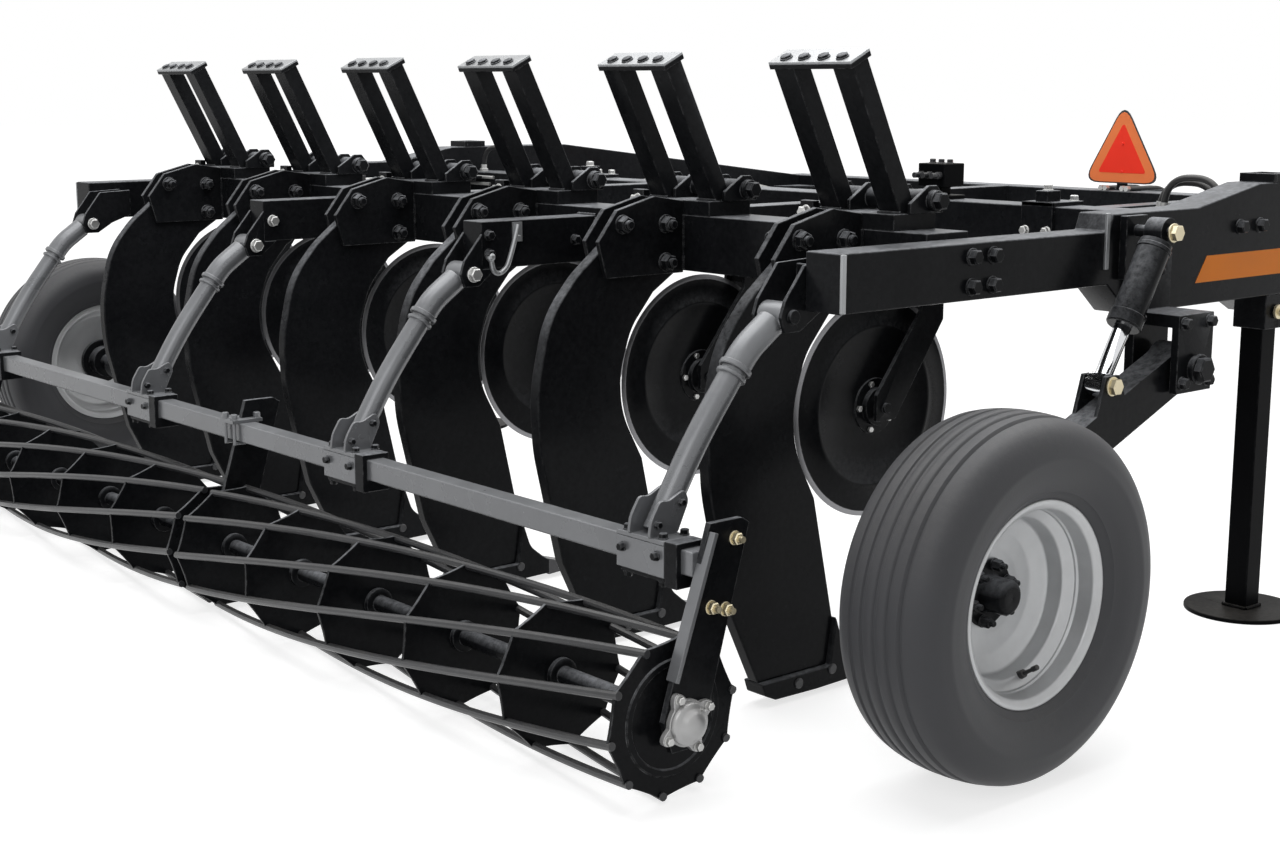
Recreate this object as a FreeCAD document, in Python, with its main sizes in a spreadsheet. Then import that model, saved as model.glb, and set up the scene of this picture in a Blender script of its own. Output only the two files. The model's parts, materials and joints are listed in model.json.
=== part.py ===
"""Pull-type in-line subsoiler: six legs on one toolbar, a coulter ahead of each leg,
two lift wheels outside the side beams and a two-section rolling basket behind.

Row frame: +X towards the hitch, +Y to the left, +Z up, floor at z = 0, origin on the
floor under the middle of the machine. A station is a distance forward of the
rearmost point of the baskets, so X = station - overall_length / 2. Millimetres.
"""
import FreeCAD, Part
import Sketcher
import math
import os
import re

# ----------------------------------------------------------------------------
# Driving dimensions, kept in the document's spreadsheet
# ----------------------------------------------------------------------------
SIZES = {
    # overall layout
    "overall_length": 5400, "leg_pitch": 610, "leg_count": 6,
    "side_offset": 1800, "side_width": 100, "inner_offset": 560,
    "running_gap": 0.3,
    # frame tubes
    "toolbar_station": 1045, "toolbar_size": 140, "toolbar_top": 1075,
    "rail_rear": 600, "rail_width": 80, "rail_top": 1055, "rail_base": 935,
    "mid_station": 2240, "cross_size": 120, "cross_top": 1055,
    "front_station": 4150, "front_top": 980,
    "side_top": 1060, "side_step": 1500, "deep_base": 860, "deep_top": 1100,
    "brow_station": 2130, "brow_top": 1150, "brow_end": 2700,
    # tongue and clevis
    "tongue_width": 150, "tongue_depth": 150, "hitch_height": 500,
    "clevis_bore": 33, "clevis_plate": 25, "clevis_gap": 50, "clevis_width": 110,
    "brace_size": 80, "brace_run": 0.6, "brace_spread": 1020,
    # legs
    "shank_thick": 35, "shoe_thick": 64, "tip_height": 12,
    "bracket_plate": 14, "bracket_gap": 1.5,
    # reset spring bars over each leg
    "bar_size": 50, "bar_width": 62, "bar_offset": 91, "bar_foot": 1030, "bar_lean": 162,
    "bar_top": 1444, "base_thick": 37, "cap_thick": 12,
    # coulters
    "disc_station": 1060, "disc_drop": 18, "disc_radius": 262, "disc_thick": 6,
    "stem_station": 1225, "stem_size": 60, "stem_top": 1060, "stem_base": 888,
    "fork_plate": 10, "coulter_pin": 12, "coulter_hub": 45,
    # wheels and their lift arms
    "axle_station": 770, "wheel_offset": 2150, "tyre_diameter": 760,
    "tyre_width": 260, "rim_seat": 200, "rim_width": 190, "rim_wall": 8, "rim_lip": 14, "rim_drop": 26,
    "hub_radius": 55, "spindle_radius": 30,
    "arm_offset": 1935, "arm_width": 70, "arm_depth": 100,
    "pivot_station": 1650, "pivot_height": 740, "pivot_radius": 30,
    "cylinder_station": 1580, "cylinder_height": 1060, "barrel_radius": 38,
    "barrel_length": 248, "rod_radius": 20, "rod_station": 1370, "rod_rise": 98,
    "cylinder_pin": 14, "eye_radius": 28, "eye_slack": 2.6,
    # parking stands
    "stand_size": 64, "stand_clear": 3, "stand_top": 960, "sleeve_wall": 12,
    "sleeve_base": 770, "foot_radius": 150, "foot_thick": 12,
    # rolling baskets
    "basket_radius": 170, "basket_lift": 3, "basket_bars": 10, "bar_radius": 9,
    "basket_inner": 26, "basket_outer": 1830, "disc_plate": 8, "basket_shaft": 20,
    "basket_twist": 100, "basket_spans": 5,
    "beam_station": 225, "beam_size": 50, "beam_base": 455, "beam_half": 1850, "hanger_plate": 14,
    "strap_width": 104, "strap_top": 560, "strap_lean": 118, "flange_half": 62,
    "float_station": 566, "float_height": 925, "float_pin": 15,
    "elbow_station": 475, "elbow_height": 862, "knee_station": 335, "knee_height": 685,
    "arm_tube": 31, "arm_tube_low": 27,
    # warning sign
    "sign_side": 400, "sign_height": 346, "sign_thick": 4, "sign_base": 1010,
}

doc = FreeCAD.newDocument("Subsoiler")
sheet = doc.addObject("Spreadsheet::Sheet", "Sizes")
for row, (alias, number) in enumerate(SIZES.items(), start=1):
    sheet.set(f"A{row}", alias)
    sheet.set(f"B{row}", str(number))
    sheet.setAlias(f"B{row}", alias)
doc.recompute()

NODES = {}                       # node name -> document object
SIDES = (("left", 1), ("right", -1))


def size(alias):
    """One driving dimension, read back from the sheet."""
    return float(sheet.get(alias))


def bound(text):
    """An expression with every alias pointed at the sheet."""
    return re.sub(r"[a-z][a-z_]*[a-z]", lambda m: "Sizes." + m.group()
                  if m.group() in SIZES else m.group(), str(text))


def bind(item, prop, text):
    item.setExpression(prop, bound(text))


def place(item, station, across, height):
    """Bind an object's position, given as station, Y and Z."""
    bind(item, "Placement.Base.x", f"({station}) - overall_length / 2")
    bind(item, "Placement.Base.y", across)
    bind(item, "Placement.Base.z", height)


def real_x(station):
    return station - size("overall_length") / 2


def node(name, item):
    """Name a finished sub-part: its label is the name of its file."""
    item.Label = name
    NODES[name] = item
    return item


# ----------------------------------------------------------------------------
# Small shape builders
# ----------------------------------------------------------------------------
def box(name, stations, across, heights):
    """A block between two stations, two Y values and two heights."""
    item = doc.addObject("Part::Box", name)
    for prop, (low, high) in (("Length", stations), ("Width", across), ("Height", heights)):
        bind(item, prop, f"({high}) - ({low})")
    place(item, stations[0], across[0], heights[0])
    return item


def pin(name, radius, across, station, height):
    """A cylinder along Y between two Y values."""
    item = doc.addObject("Part::Cylinder", name)
    item.Placement.Rotation = FreeCAD.Rotation(FreeCAD.Vector(1, 0, 0), -90)
    bind(item, "Radius", radius)
    bind(item, "Height", f"({across[1]}) - ({across[0]})")
    place(item, station, across[0], height)
    return item


def post(name, radius, station, across, heights):
    """An upright cylinder."""
    item = doc.addObject("Part::Cylinder", name)
    bind(item, "Radius", radius)
    bind(item, "Height", f"({heights[1]}) - ({heights[0]})")
    place(item, station, across, heights[0])
    return item


def fuse(name, items):
    item = doc.addObject("Part::MultiFuse", name)
    item.Shapes = items
    item.Refine = True
    return item


def cut(name, base, tool):
    item = doc.addObject("Part::Cut", name)
    item.Base, item.Tool = base, tool
    return item


def group(name, items):
    """Like pieces on one body that don't touch, kept together in one node."""
    item = doc.addObject("Part::Compound", name)
    item.Links = items
    return item


def body_plane(body, role):
    return next(f for f in body.Origin.OriginFeatures if f.Role == role)


def outline(body, name, role, corners):
    """A closed polygon sketch whose corners are bound to the sheet."""
    sketch = body.newObject("Sketcher::SketchObject", name)
    sketch.AttachmentSupport = [(body_plane(body, role), "")]
    sketch.MapMode = "FlatFace"
    count = len(corners)
    for index in range(count):
        start = FreeCAD.Vector(100 * math.cos(index), 100 * math.sin(index), 0)
        finish = FreeCAD.Vector(100 * math.cos(index + 1), 100 * math.sin(index + 1), 0)
        sketch.addGeometry(Part.LineSegment(start, finish))
    for index in range(count):
        sketch.addConstraint(Sketcher.Constraint("Coincident", index, 2, (index + 1) % count, 1))
    for index, (first, second) in enumerate(corners):
        for kind, text in (("DistanceX", first), ("DistanceY", second)):
            number = sketch.addConstraint(Sketcher.Constraint(kind, -1, 1, index, 1, 50.0))
            bind(sketch, f"Constraints[{number}]", text)
    return sketch


def round_corners(body, tip, sketch, corners, rounds):
    """Round the pad's edges that stand on the named corners of the outline."""
    doc.recompute()
    for corner, radius in rounds:
        spot = sketch.Geometry[corner].StartPoint
        names = []
        for index, edge in enumerate(tip.Shape.Edges, start=1):
            ends = [v.Point for v in edge.Vertexes]
            if len(ends) == 2 and all(abs(p.x - spot.x) < 0.01 and abs(p.z - spot.y) < 0.01
                                      for p in ends):
                names.append(f"Edge{index}")
        fillet = body.newObject("PartDesign::Fillet", f"{body.Name}_round_{corner}")
        fillet.Base = (tip, names)
        bind(fillet, "Radius", radius)
        doc.recompute()
        tip = fillet
    return tip


def plate(name, corners, thickness, middle, rounds=()):
    """A plate in an upright fore-and-aft plane; corners are (station, height)."""
    body = doc.addObject("PartDesign::Body", name)
    sketch = outline(body, name + "_outline", "XZ_Plane", corners)
    pad = body.newObject("PartDesign::Pad", name + "_pad")
    pad.Profile = sketch
    pad.SideType = "Symmetric"
    bind(pad, "Length", thickness)
    if rounds:
        round_corners(body, pad, sketch, corners, rounds)
    place(body, 0, middle, 0)
    return body


def turned(name, corners, side, station, height, middle=0):
    """A solid of revolution about a Y axis; corners are (radius, outward distance)."""
    body = doc.addObject("PartDesign::Body", name)
    sketch = outline(body, name + "_outline", "XY_Plane", corners)
    turn = body.newObject("PartDesign::Revolution", name + "_turn")
    turn.Profile = sketch
    turn.ReferenceAxis = (sketch, ["V_Axis"])
    turn.Angle = 360
    if side < 0:
        body.Placement.Rotation = FreeCAD.Rotation(FreeCAD.Vector(0, 0, 1), 180)
    place(body, station, f"{side} * ({middle})", height)
    return body


def raw(name, shape):
    """A piece whose slanted or twisted form is computed from the sheet's values."""
    item = doc.addObject("Part::Feature", name)
    item.Shape = shape
    return item


def strut(start, end, width, depth):
    """A rectangular bar between two points, its width across and depth in its plane."""
    start, end = FreeCAD.Vector(*start), FreeCAD.Vector(*end)
    run = end - start
    shape = Part.makeBox(run.Length, width, depth, FreeCAD.Vector(0, -width / 2, -depth / 2))
    level = math.degrees(math.atan2(run.y, run.x))
    climb = math.degrees(math.atan2(run.z, math.hypot(run.x, run.y)))
    shape.Placement = FreeCAD.Placement(start, FreeCAD.Rotation(level, -climb, 0))
    return shape


def rod(start, end, radius):
    start, end = FreeCAD.Vector(*start), FreeCAD.Vector(*end)
    return Part.makeCylinder(radius, (end - start).Length, start, end - start)


# ----------------------------------------------------------------------------
# Frame: side beams, toolbars and rails
# ----------------------------------------------------------------------------
def side_beam(side, sign):
    """The outer frame member, shallow behind and a deep plate beam ahead of the step."""
    corners = [
        ("rail_rear", "rail_base"), ("rail_rear", "side_top"), ("side_step", "side_top"),
        ("side_step + 15", "deep_top"), ("brow_station - 270", "deep_top"),
        ("brow_station", "brow_top"), ("brow_end", "brow_top"),
        ("front_station - cross_size / 2", "front_top"),
        ("front_station - cross_size / 2", "front_top - cross_size"),
        ("side_step + 90", "deep_base"), ("side_step", "rail_base")]
    solid = plate(f"side_plate_{side}", corners, "side_width", f"{sign} * side_offset")
    half = "(stand_size / 2 + stand_clear)"
    slot = box(f"stand_slot_{side}",
               (f"mid_station - {half}", f"mid_station + {half}"),
               (f"{sign} * side_offset - {half}", f"{sign} * side_offset + {half}"),
               ("deep_base - 50", "brow_top + 50"))
    return node(f"side_beam_{side}", cut(f"side_cut_{side}", solid, slot))


INSIDE = "(side_offset - side_width / 2)"
for side, sign in SIDES:
    side_beam(side, sign)


def cross_tube(name, station, tube, top, half):
    return node(name, box(name, (f"{station} - {tube} / 2", f"{station} + {tube} / 2"),
                          (f"-{half}", half), (f"{top} - {tube}", top)))


cross_tube("toolbar", "toolbar_station", "toolbar_size", "toolbar_top", INSIDE)
cross_tube("middle_tube", "mid_station", "cross_size", "cross_top", INSIDE)
cross_tube("front_tube", "front_station", "cross_size", "front_top",
           "(side_offset + side_width / 2)")


def inner_rail(side, sign):
    """A fore-and-aft rail in three lengths, butted to the cross tubes."""
    spans = (("rail_rear", "toolbar_station - toolbar_size / 2", "rail_top"),
             ("toolbar_station + toolbar_size / 2", "mid_station - cross_size / 2", "rail_top"),
             ("mid_station + cross_size / 2", "front_station - cross_size / 2", "front_top"))
    pieces = []
    for number, (start, finish, top) in enumerate(spans, start=1):
        low = "rail_base" if number < 3 else "rail_base - 30"
        pieces.append(box(f"rail_{side}_{number}", (start, finish),
                          (f"{sign} * inner_offset - rail_width / 2",
                           f"{sign} * inner_offset + rail_width / 2"), (low, top)))
    return node(f"inner_rail_{side}", group(f"rails_{side}", pieces))


for side, sign in SIDES:
    inner_rail(side, sign)


# ----------------------------------------------------------------------------
# Tongue, braces and clevis
# ----------------------------------------------------------------------------
ROOT = "(front_station + cross_size / 2)"
NOSE = "(overall_length - 170)"
node("tongue", plate("tongue_body", [
    (ROOT, "front_top - tongue_depth"), (ROOT, "front_top"), (f"{ROOT} + 110", "front_top"),
    (f"{NOSE} - 120", "hitch_height + tongue_depth / 2"),
    (NOSE, "hitch_height + tongue_depth / 2"), (NOSE, "hitch_height - tongue_depth / 2"),
    (f"{NOSE} - 150", "hitch_height - tongue_depth / 2"),
    (f"{ROOT} + 60", "front_top - tongue_depth")], "tongue_width", "0"))


def tongue_braces():
    """Two slanted tubes from the front tube to the flanks of the sloping tongue."""
    root = real_x(size("front_station") + size("cross_size") / 2)
    slope_end = real_x(size("overall_length") - 170 - 135)
    joint = root + size("brace_run") * (slope_end - root)
    high = size("front_top") - size("tongue_depth") / 2
    fall = high - size("hitch_height")
    share = (joint - root - 85) / (slope_end - root - 85)
    wide, far = size("brace_size"), 2 * size("overall_length")
    pieces = []
    for sign in (1, -1):
        flank = sign * size("tongue_width") / 2
        bar = strut((root - 150, sign * size("brace_spread"), high + 15),
                    (joint + 110, sign * 10, high - share * fall), wide, wide)
        ahead = Part.makeBox(far, far, far, FreeCAD.Vector(root, -far / 2, 0))
        beside = Part.makeBox(far, far, far, FreeCAD.Vector(-far / 2, flank - (sign < 0) * far, 0))
        pieces.append(bar.common(ahead).common(beside))
    return Part.makeCompound(pieces)


node("tongue_braces", raw("tongue_brace_pair", tongue_braces()))


def clevis():
    """Two ears with one upright pin hole, on a back plate bolted to the tongue's nose."""
    half = "clevis_width / 2"
    top = "(hitch_height + clevis_gap / 2)"
    low = "(hitch_height - clevis_gap / 2)"
    parts = [box("clevis_back", (NOSE, f"{NOSE} + 25"), (f"-{half}", half),
                 ("hitch_height - tongue_depth / 2", "hitch_height + tongue_depth / 2"))]
    for name, low_z, high_z in (("upper", top, f"{top} + clevis_plate"),
                                ("lower", f"{low} - clevis_plate", low)):
        ear = box(f"clevis_{name}_ear", (f"{NOSE} + 25", "overall_length - clevis_width / 2"),
                  (f"-{half}", half), (low_z, high_z))
        nose = post(f"clevis_{name}_nose", half, "overall_length - clevis_width / 2", "0",
                    (low_z, high_z))
        parts += [ear, nose]
    bore = post("clevis_bore_tool", "clevis_bore / 2", "overall_length - clevis_width / 2", "0",
                (f"{low} - 100", f"{top} + 100"))
    return cut("clevis_solid", fuse("clevis_blank", parts), bore)


node("hitch_clevis", clevis())


# ----------------------------------------------------------------------------
# Legs: brackets, shanks, shoes and the paired reset bars
# ----------------------------------------------------------------------------
def leg_across(number):
    """Y of leg number 1 (left) to leg_count (right)."""
    return f"((leg_count + 1) / 2 - {number}) * leg_pitch"


LEGS = range(1, int(size("leg_count")) + 1)
HEAD = "(toolbar_station - toolbar_size / 2)"        # rear face of the toolbar


def leg_bracket(number):
    """Two cheek plates that carry a shank behind the toolbar."""
    corners = [(HEAD, "rail_base - 5"), (HEAD, "toolbar_top + 35"),
               (f"{HEAD} - 95", "toolbar_top + 50"), (f"{HEAD} - 215", "toolbar_top + 20"),
               (f"{HEAD} - 275", "toolbar_top - 55"), (f"{HEAD} - 250", "rail_base - 5")]
    reach = "(shank_thick / 2 + bracket_gap + bracket_plate / 2)"
    return [plate(f"cheek_{number}_{word}", corners, "bracket_plate",
                  f"{leg_across(number)} + {sign} * {reach}") for word, sign in SIDES]


def shank(number):
    """A forward-curved plate: convex back edge, hollow front edge behind the coulter."""
    corners = [
        (f"{HEAD} - 10", "toolbar_top + 10"), (f"{HEAD} - 95", "toolbar_top + 12"),
        (f"{HEAD} - 190", "toolbar_top - 25"), (f"{HEAD} - 330", "toolbar_top - 135"),
        (f"{HEAD} - 412", "toolbar_top - 230"), (f"{HEAD} - 453", "toolbar_top - 410"),
        (f"{HEAD} - 446", "520"), (f"{HEAD} - 378", "232"), (f"{HEAD} - 295", "tip_height + 48"),
        (f"{HEAD} - 75", "tip_height + 48"), (f"{HEAD} - 57", "175"), (f"{HEAD} - 122", "465"),
        (f"{HEAD} - 189", "590"), (f"{HEAD} - 193", "690"), (f"{HEAD} - 158", "800"),
        (f"{HEAD} - 85", "885"), (f"{HEAD} - 10", "932")]
    rounds = [(3, "260"), (4, "260"), (5, "420"), (6, "420"), (12, "220"), (13, "200"),
              (14, "160")]
    return plate(f"shank_body_{number}", corners, "shank_thick", leg_across(number), rounds)


def shoe(number):
    """The thicker foot with its flat chisel point reaching forward."""
    corners = [
        (f"{HEAD} - 295", "tip_height + 48"), (f"{HEAD} - 285", "tip_height + 18"),
        (f"{HEAD} - 250", "tip_height + 2"), (f"{HEAD} - 120", "tip_height"),
        (f"{HEAD} + 122", "tip_height + 6"), (f"{HEAD} + 126", "tip_height + 18"),
        (f"{HEAD} + 25", "tip_height + 46"), (f"{HEAD} - 32", "tip_height + 92"),
        (f"{HEAD} - 57", "175"), (f"{HEAD} - 75", "tip_height + 48")]
    return plate(f"shoe_{number}", corners, "shoe_thick", leg_across(number),
                 [(6, "120"), (7, "60")])


def reset_bars(number):
    """Two leaning square housings on a base block, tied by one cap plate."""
    foot, top = "toolbar_top", "bar_top"
    across = leg_across(number)
    spread = "(bar_offset + bar_width / 2 + 6)"
    pieces = [box(f"reset_base_{number}", (HEAD, f"{HEAD} + toolbar_size"),
                  (f"{across} - {spread}", f"{across} + {spread}"),
                  (foot, f"{foot} + base_thick"))]
    half = "(bar_size * 0.556)"
    tilt = "(bar_size * 0.22)"
    deck = f"({foot} + base_thick)"
    corners = [(f"bar_foot - {half}", deck), (f"bar_foot - bar_lean - {half}", f"{top} - {tilt}"),
               (f"bar_foot - bar_lean + bar_size * 0.344", f"{top} + {tilt}"),
               (f"bar_foot + {half}", f"{deck}")]
    for word, sign in SIDES:
        pieces.append(plate(f"reset_bar_{number}_{word}", corners, "bar_width",
                            f"{across} + {sign} * bar_offset"))
    cap = [(f"bar_foot - bar_lean - {half} - 8", f"{top} - {tilt} - 4"),
           (f"bar_foot - bar_lean - {half} - 13", f"{top} - {tilt} + cap_thick - 5"),
           (f"bar_foot - bar_lean + bar_size * 0.344 + 3", f"{top} + {tilt} + cap_thick + 3"),
           (f"bar_foot - bar_lean + bar_size * 0.344 + 8", f"{top} + {tilt} + 4")]
    pieces.append(plate(f"reset_cap_{number}", cap, "2 * bar_offset + bar_width + 8", across))
    return fuse(f"reset_set_{number}", pieces)


node("leg_brackets", group("bracket_plates", [p for k in LEGS for p in leg_bracket(k)]))
node("leg_shoes", group("shoe_set", [shoe(k) for k in LEGS]))
for number in LEGS:
    node(f"shank_{number}", shank(number))
    node(f"reset_bars_{number}", reset_bars(number))


# ----------------------------------------------------------------------------
# Coulters: a stem and fork on the toolbar's front face, and a free-turning disc
# ----------------------------------------------------------------------------
DISC_HEIGHT = "(toolbar_top - toolbar_size - disc_drop - disc_radius)"
DISC_AXLE = ("disc_station", DISC_HEIGHT)


def coulter_fork(number):
    across = leg_across(number)
    half = "stem_size / 2"
    pieces = [
        box(f"stem_{number}", (f"stem_station - {half}", f"stem_station + {half}"),
            (f"{across} - {half}", f"{across} + {half}"), ("stem_base", "stem_top")),
        box(f"stem_clamp_{number}", (f"{HEAD} + toolbar_size", f"stem_station - {half}"),
            (f"{across} - 50", f"{across} + 50"), ("toolbar_top - 128", "toolbar_top - 12"))]
    cheek = [(f"stem_station - {half}", "stem_top - 60"), (f"stem_station + {half}", "stem_top - 60"),
             (f"stem_station + {half}", "stem_base - 40"),
             ("disc_station + 34", f"{DISC_HEIGHT} - 30"),
             ("disc_station - 30", f"{DISC_HEIGHT} - 30"),
             ("disc_station - 30", f"{DISC_HEIGHT} + 32"),
             (f"stem_station - {half} - 15", "stem_base - 10")]
    for word, sign in SIDES:
        pieces.append(plate(f"fork_{number}_{word}", cheek, "fork_plate",
                            f"{across} + {sign} * (stem_size + fork_plate) / 2"))
    reach = "(stem_size / 2 + fork_plate + 8)"
    pieces.append(pin(f"coulter_axle_{number}", "coulter_pin",
                      (f"{across} - {reach}", f"{across} + {reach}"), *DISC_AXLE))
    return fuse(f"fork_set_{number}", pieces)


def coulter_disc(number):
    """A thin blade on a short hub, bored to run on its axle."""
    across = leg_across(number)
    half = "(stem_size / 2 - 2)"
    blank = fuse(f"disc_blank_{number}", [
        pin(f"blade_{number}", "disc_radius",
            (f"{across} - disc_thick / 2", f"{across} + disc_thick / 2"), *DISC_AXLE),
        pin(f"disc_hub_{number}", "coulter_hub", (f"{across} - {half}", f"{across} + {half}"),
            *DISC_AXLE)])
    bore = pin(f"disc_bore_{number}", "coulter_pin + running_gap",
               (f"{across} - 60", f"{across} + 60"), *DISC_AXLE)
    return cut(f"disc_solid_{number}", blank, bore)


node("coulter_forks", group("fork_row", [coulter_fork(k) for k in LEGS]))
for number in LEGS:
    node(f"coulter_disc_{number}", coulter_disc(number))


# ----------------------------------------------------------------------------
# Lift wheels: pivot brackets, arms, hubs, rims, tyres and cylinders
# ----------------------------------------------------------------------------
AXLE = ("axle_station", "tyre_diameter / 2")
OUTER = "(side_offset + side_width / 2)"             # outer face of a side beam
ARM_IN, ARM_OUT = "(arm_offset - arm_width / 2)", "(arm_offset + arm_width / 2)"
ARM_SLOPE = "((pivot_height - tyre_diameter / 2) / (pivot_station - axle_station))"
ROD_HEIGHT = f"(pivot_height - (pivot_station - rod_station) * {ARM_SLOPE} + rod_rise)"


def sided(sign, low, high):
    """Two distances from the middle plane, as an ascending pair of Y values."""
    return (low, high) if sign > 0 else (f"-({high})", f"-({low})")


def wheel_bracket(side, sign):
    """Hanger plates with the arm's pivot pin, and the cylinder's upper anchor."""
    inner = sided(sign, OUTER, f"{OUTER} + 25")
    outer = sided(sign, f"{ARM_OUT} + 8", f"{ARM_OUT} + 28")
    bridge = sided(sign, f"{OUTER} + 25", f"{ARM_OUT} + 8")
    reach = ("pivot_station - 70", "pivot_station + 70")
    pieces = [
        box(f"hanger_in_{side}", reach, inner, ("pivot_height - 55", "pivot_height + 260")),
        box(f"hanger_out_{side}", reach, outer, ("pivot_height - 55", "pivot_height + 130")),
        box(f"hanger_top_{side}", reach, bridge, ("pivot_height + 100", "pivot_height + 130")),
        pin(f"pivot_pin_{side}", "pivot_radius", sided(sign, OUTER, f"{ARM_OUT} + 40"),
            "pivot_station", "pivot_height"),
        box(f"anchor_{side}", ("cylinder_station - 40", "cylinder_station + 40"),
            sided(sign, OUTER, f"{OUTER} + 20"), ("rail_base + 10", "cylinder_height + 35")),
        pin(f"anchor_pin_{side}", "cylinder_pin", sided(sign, OUTER, "arm_offset + 34"),
            "cylinder_station", "cylinder_height")]
    return node(f"wheel_bracket_{side}", fuse(f"wheel_bracket_set_{side}", pieces))


def wheel_arm(side, sign):
    """A box arm from its pivot down and back to the wheel spindle."""
    run = math.hypot(size("pivot_station") - size("axle_station"),
                     size("pivot_height") - size("tyre_diameter") / 2)
    lean = f"(arm_depth / 2 * (pivot_height - tyre_diameter / 2) / {run:.3f})"
    rise = f"(arm_depth / 2 * (pivot_station - axle_station) / {run:.3f})"
    corners = [(f"pivot_station - {lean}", f"pivot_height + {rise}"),
               (f"pivot_station + {lean}", f"pivot_height - {rise}"),
               (f"axle_station + {lean}", f"{AXLE[1]} - {rise}"),
               (f"axle_station - {lean}", f"{AXLE[1]} + {rise}")]
    middle = f"{sign} * arm_offset"
    blank = fuse(f"arm_blank_{side}", [
        plate(f"arm_box_{side}", corners, "arm_width", middle),
        pin(f"pivot_boss_{side}", "arm_depth / 2 + 8", sided(sign, ARM_IN, ARM_OUT),
            "pivot_station", "pivot_height"),
        pin(f"axle_boss_{side}", "arm_depth / 2", sided(sign, ARM_IN, ARM_OUT), *AXLE),
        pin(f"spindle_{side}", "spindle_radius", sided(sign, ARM_OUT, "wheel_offset + 20"), *AXLE)])
    bored = cut(f"arm_bored_{side}", blank,
                pin(f"arm_bore_{side}", "pivot_radius + running_gap",
                    sided(sign, f"{ARM_IN} - 20", f"{ARM_OUT} + 20"), "pivot_station", "pivot_height"))
    deck = f"({ROD_HEIGHT} - rod_rise + 30)"
    ear = [("rod_station - 60", f"{deck} - 24"), ("rod_station - 24", f"{ROD_HEIGHT} + 24"),
           ("rod_station + 24", f"{ROD_HEIGHT} + 24"), ("rod_station + 60", f"{deck} + 24")]
    ears = [plate(f"ear_{side}_{word}", ear, "10", f"{middle} + {way} * (arm_width / 2 - 5)")
            for word, way in SIDES]
    ears.append(pin(f"ear_pin_{side}", "cylinder_pin", sided(sign, ARM_IN, ARM_OUT),
                    "rod_station", ROD_HEIGHT))
    return node(f"wheel_arm_{side}", fuse(f"arm_set_{side}", [bored] + ears))


def wheel_hub(side, sign):
    """The turning hub with its nave and dust cap, bored for the spindle."""
    inner = f"(wheel_offset - {ARM_OUT} - 8)"
    corners = [("spindle_radius + running_gap", "0"), ("hub_radius", "0"),
               ("hub_radius", f"{inner} - 57"), ("hub_radius + 25", f"{inner} - 57"),
               ("hub_radius + 25", f"{inner} - 43"), ("hub_radius - 11", f"{inner} - 43"),
               ("hub_radius - 15", f"{inner} + 40"), ("hub_radius - 23", f"{inner} + 48"),
               ("1", f"{inner} + 48"), ("1", f"{inner} + 24"),
               ("spindle_radius + running_gap", f"{inner} + 24")]
    return node(f"wheel_hub_{side}", turned(f"hub_{side}", corners, sign, *AXLE,
                                            middle=f"{ARM_OUT} + 8"))


def rim(side, sign):
    """A deep drop-centre rim with its disc set inboard."""
    wide, wall = "rim_width", "rim_wall"
    lip, well = "(rim_seat + rim_lip)", "(rim_seat - rim_drop)"
    corners = [
        (lip, "0"), (lip, wall), ("rim_seat", wall), ("rim_seat", "40"), (well, "58"),
        (well, "118"), ("rim_seat", "138"), ("rim_seat", f"{wide} - {wall}"),
        (lip, f"{wide} - {wall}"), (lip, wide), (f"rim_seat - {wall}", wide),
        (f"rim_seat - {wall}", "142"), (f"{well} - {wall}", "122"), (f"{well} - {wall}", "80"),
        (f"{well} - 44", "66"), ("hub_radius + 30", "62"), ("hub_radius - 4", "62"),
        ("hub_radius - 4", "52"), ("hub_radius + 30", "52"), (f"{well} - 40", "55"),
        (f"{well} - {wall}", "56"), (f"rim_seat - {wall}", "36"), (f"rim_seat - {wall}", "0")]
    return node(f"rim_{side}", turned(f"rim_turn_{side}", corners, sign, *AXLE,
                                      middle="wheel_offset - rim_width / 2"))


def tyre(side, sign):
    """A rib implement tyre, solid between its beads, seated on the rim."""
    far, seat, full = "tyre_diameter / 2", "rim_seat + 0.5", "tyre_width"
    corners = [
        (seat, "45"), ("rim_seat + 15", "45"), ("rim_seat + 26", "30"),
        ("rim_seat + 60", "9"), (f"{far} - 80", "0"), (f"{far} - 36", "6"),
        (f"{far} - 10", "26"), (far, "66"), (far, f"{full} - 66"),
        (f"{far} - 10", f"{full} - 26"), (f"{far} - 36", f"{full} - 6"), (f"{far} - 80", full),
        ("rim_seat + 60", f"{full} - 9"), ("rim_seat + 26", f"{full} - 30"),
        ("rim_seat + 15", f"{full} - 45"), (seat, f"{full} - 45")]
    return node(f"tyre_{side}", turned(f"tyre_turn_{side}", corners, sign, *AXLE,
                                       middle="wheel_offset - tyre_width / 2"))


def cylinder_line():
    """Ends of the lift cylinder in the upright plane: anchor, rod pin, unit vector."""
    top = FreeCAD.Vector(real_x(size("cylinder_station")), 0, size("cylinder_height"))
    slope = ((size("pivot_height") - size("tyre_diameter") / 2)
             / (size("pivot_station") - size("axle_station")))
    run = size("pivot_station") - size("rod_station")
    low = FreeCAD.Vector(real_x(size("rod_station")), 0,
                         size("pivot_height") - run * slope + size("rod_rise"))
    return top, low, (low - top).normalize()


def eye(centre, half, radius, bore):
    """A short boss along Y with a bore."""
    start = centre - FreeCAD.Vector(0, half, 0)
    along = FreeCAD.Vector(0, 1, 0)
    return (Part.makeCylinder(radius, 2 * half, start, along),
            Part.makeCylinder(bore, 2 * half + 20, start - FreeCAD.Vector(0, 10, 0), along))


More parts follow.
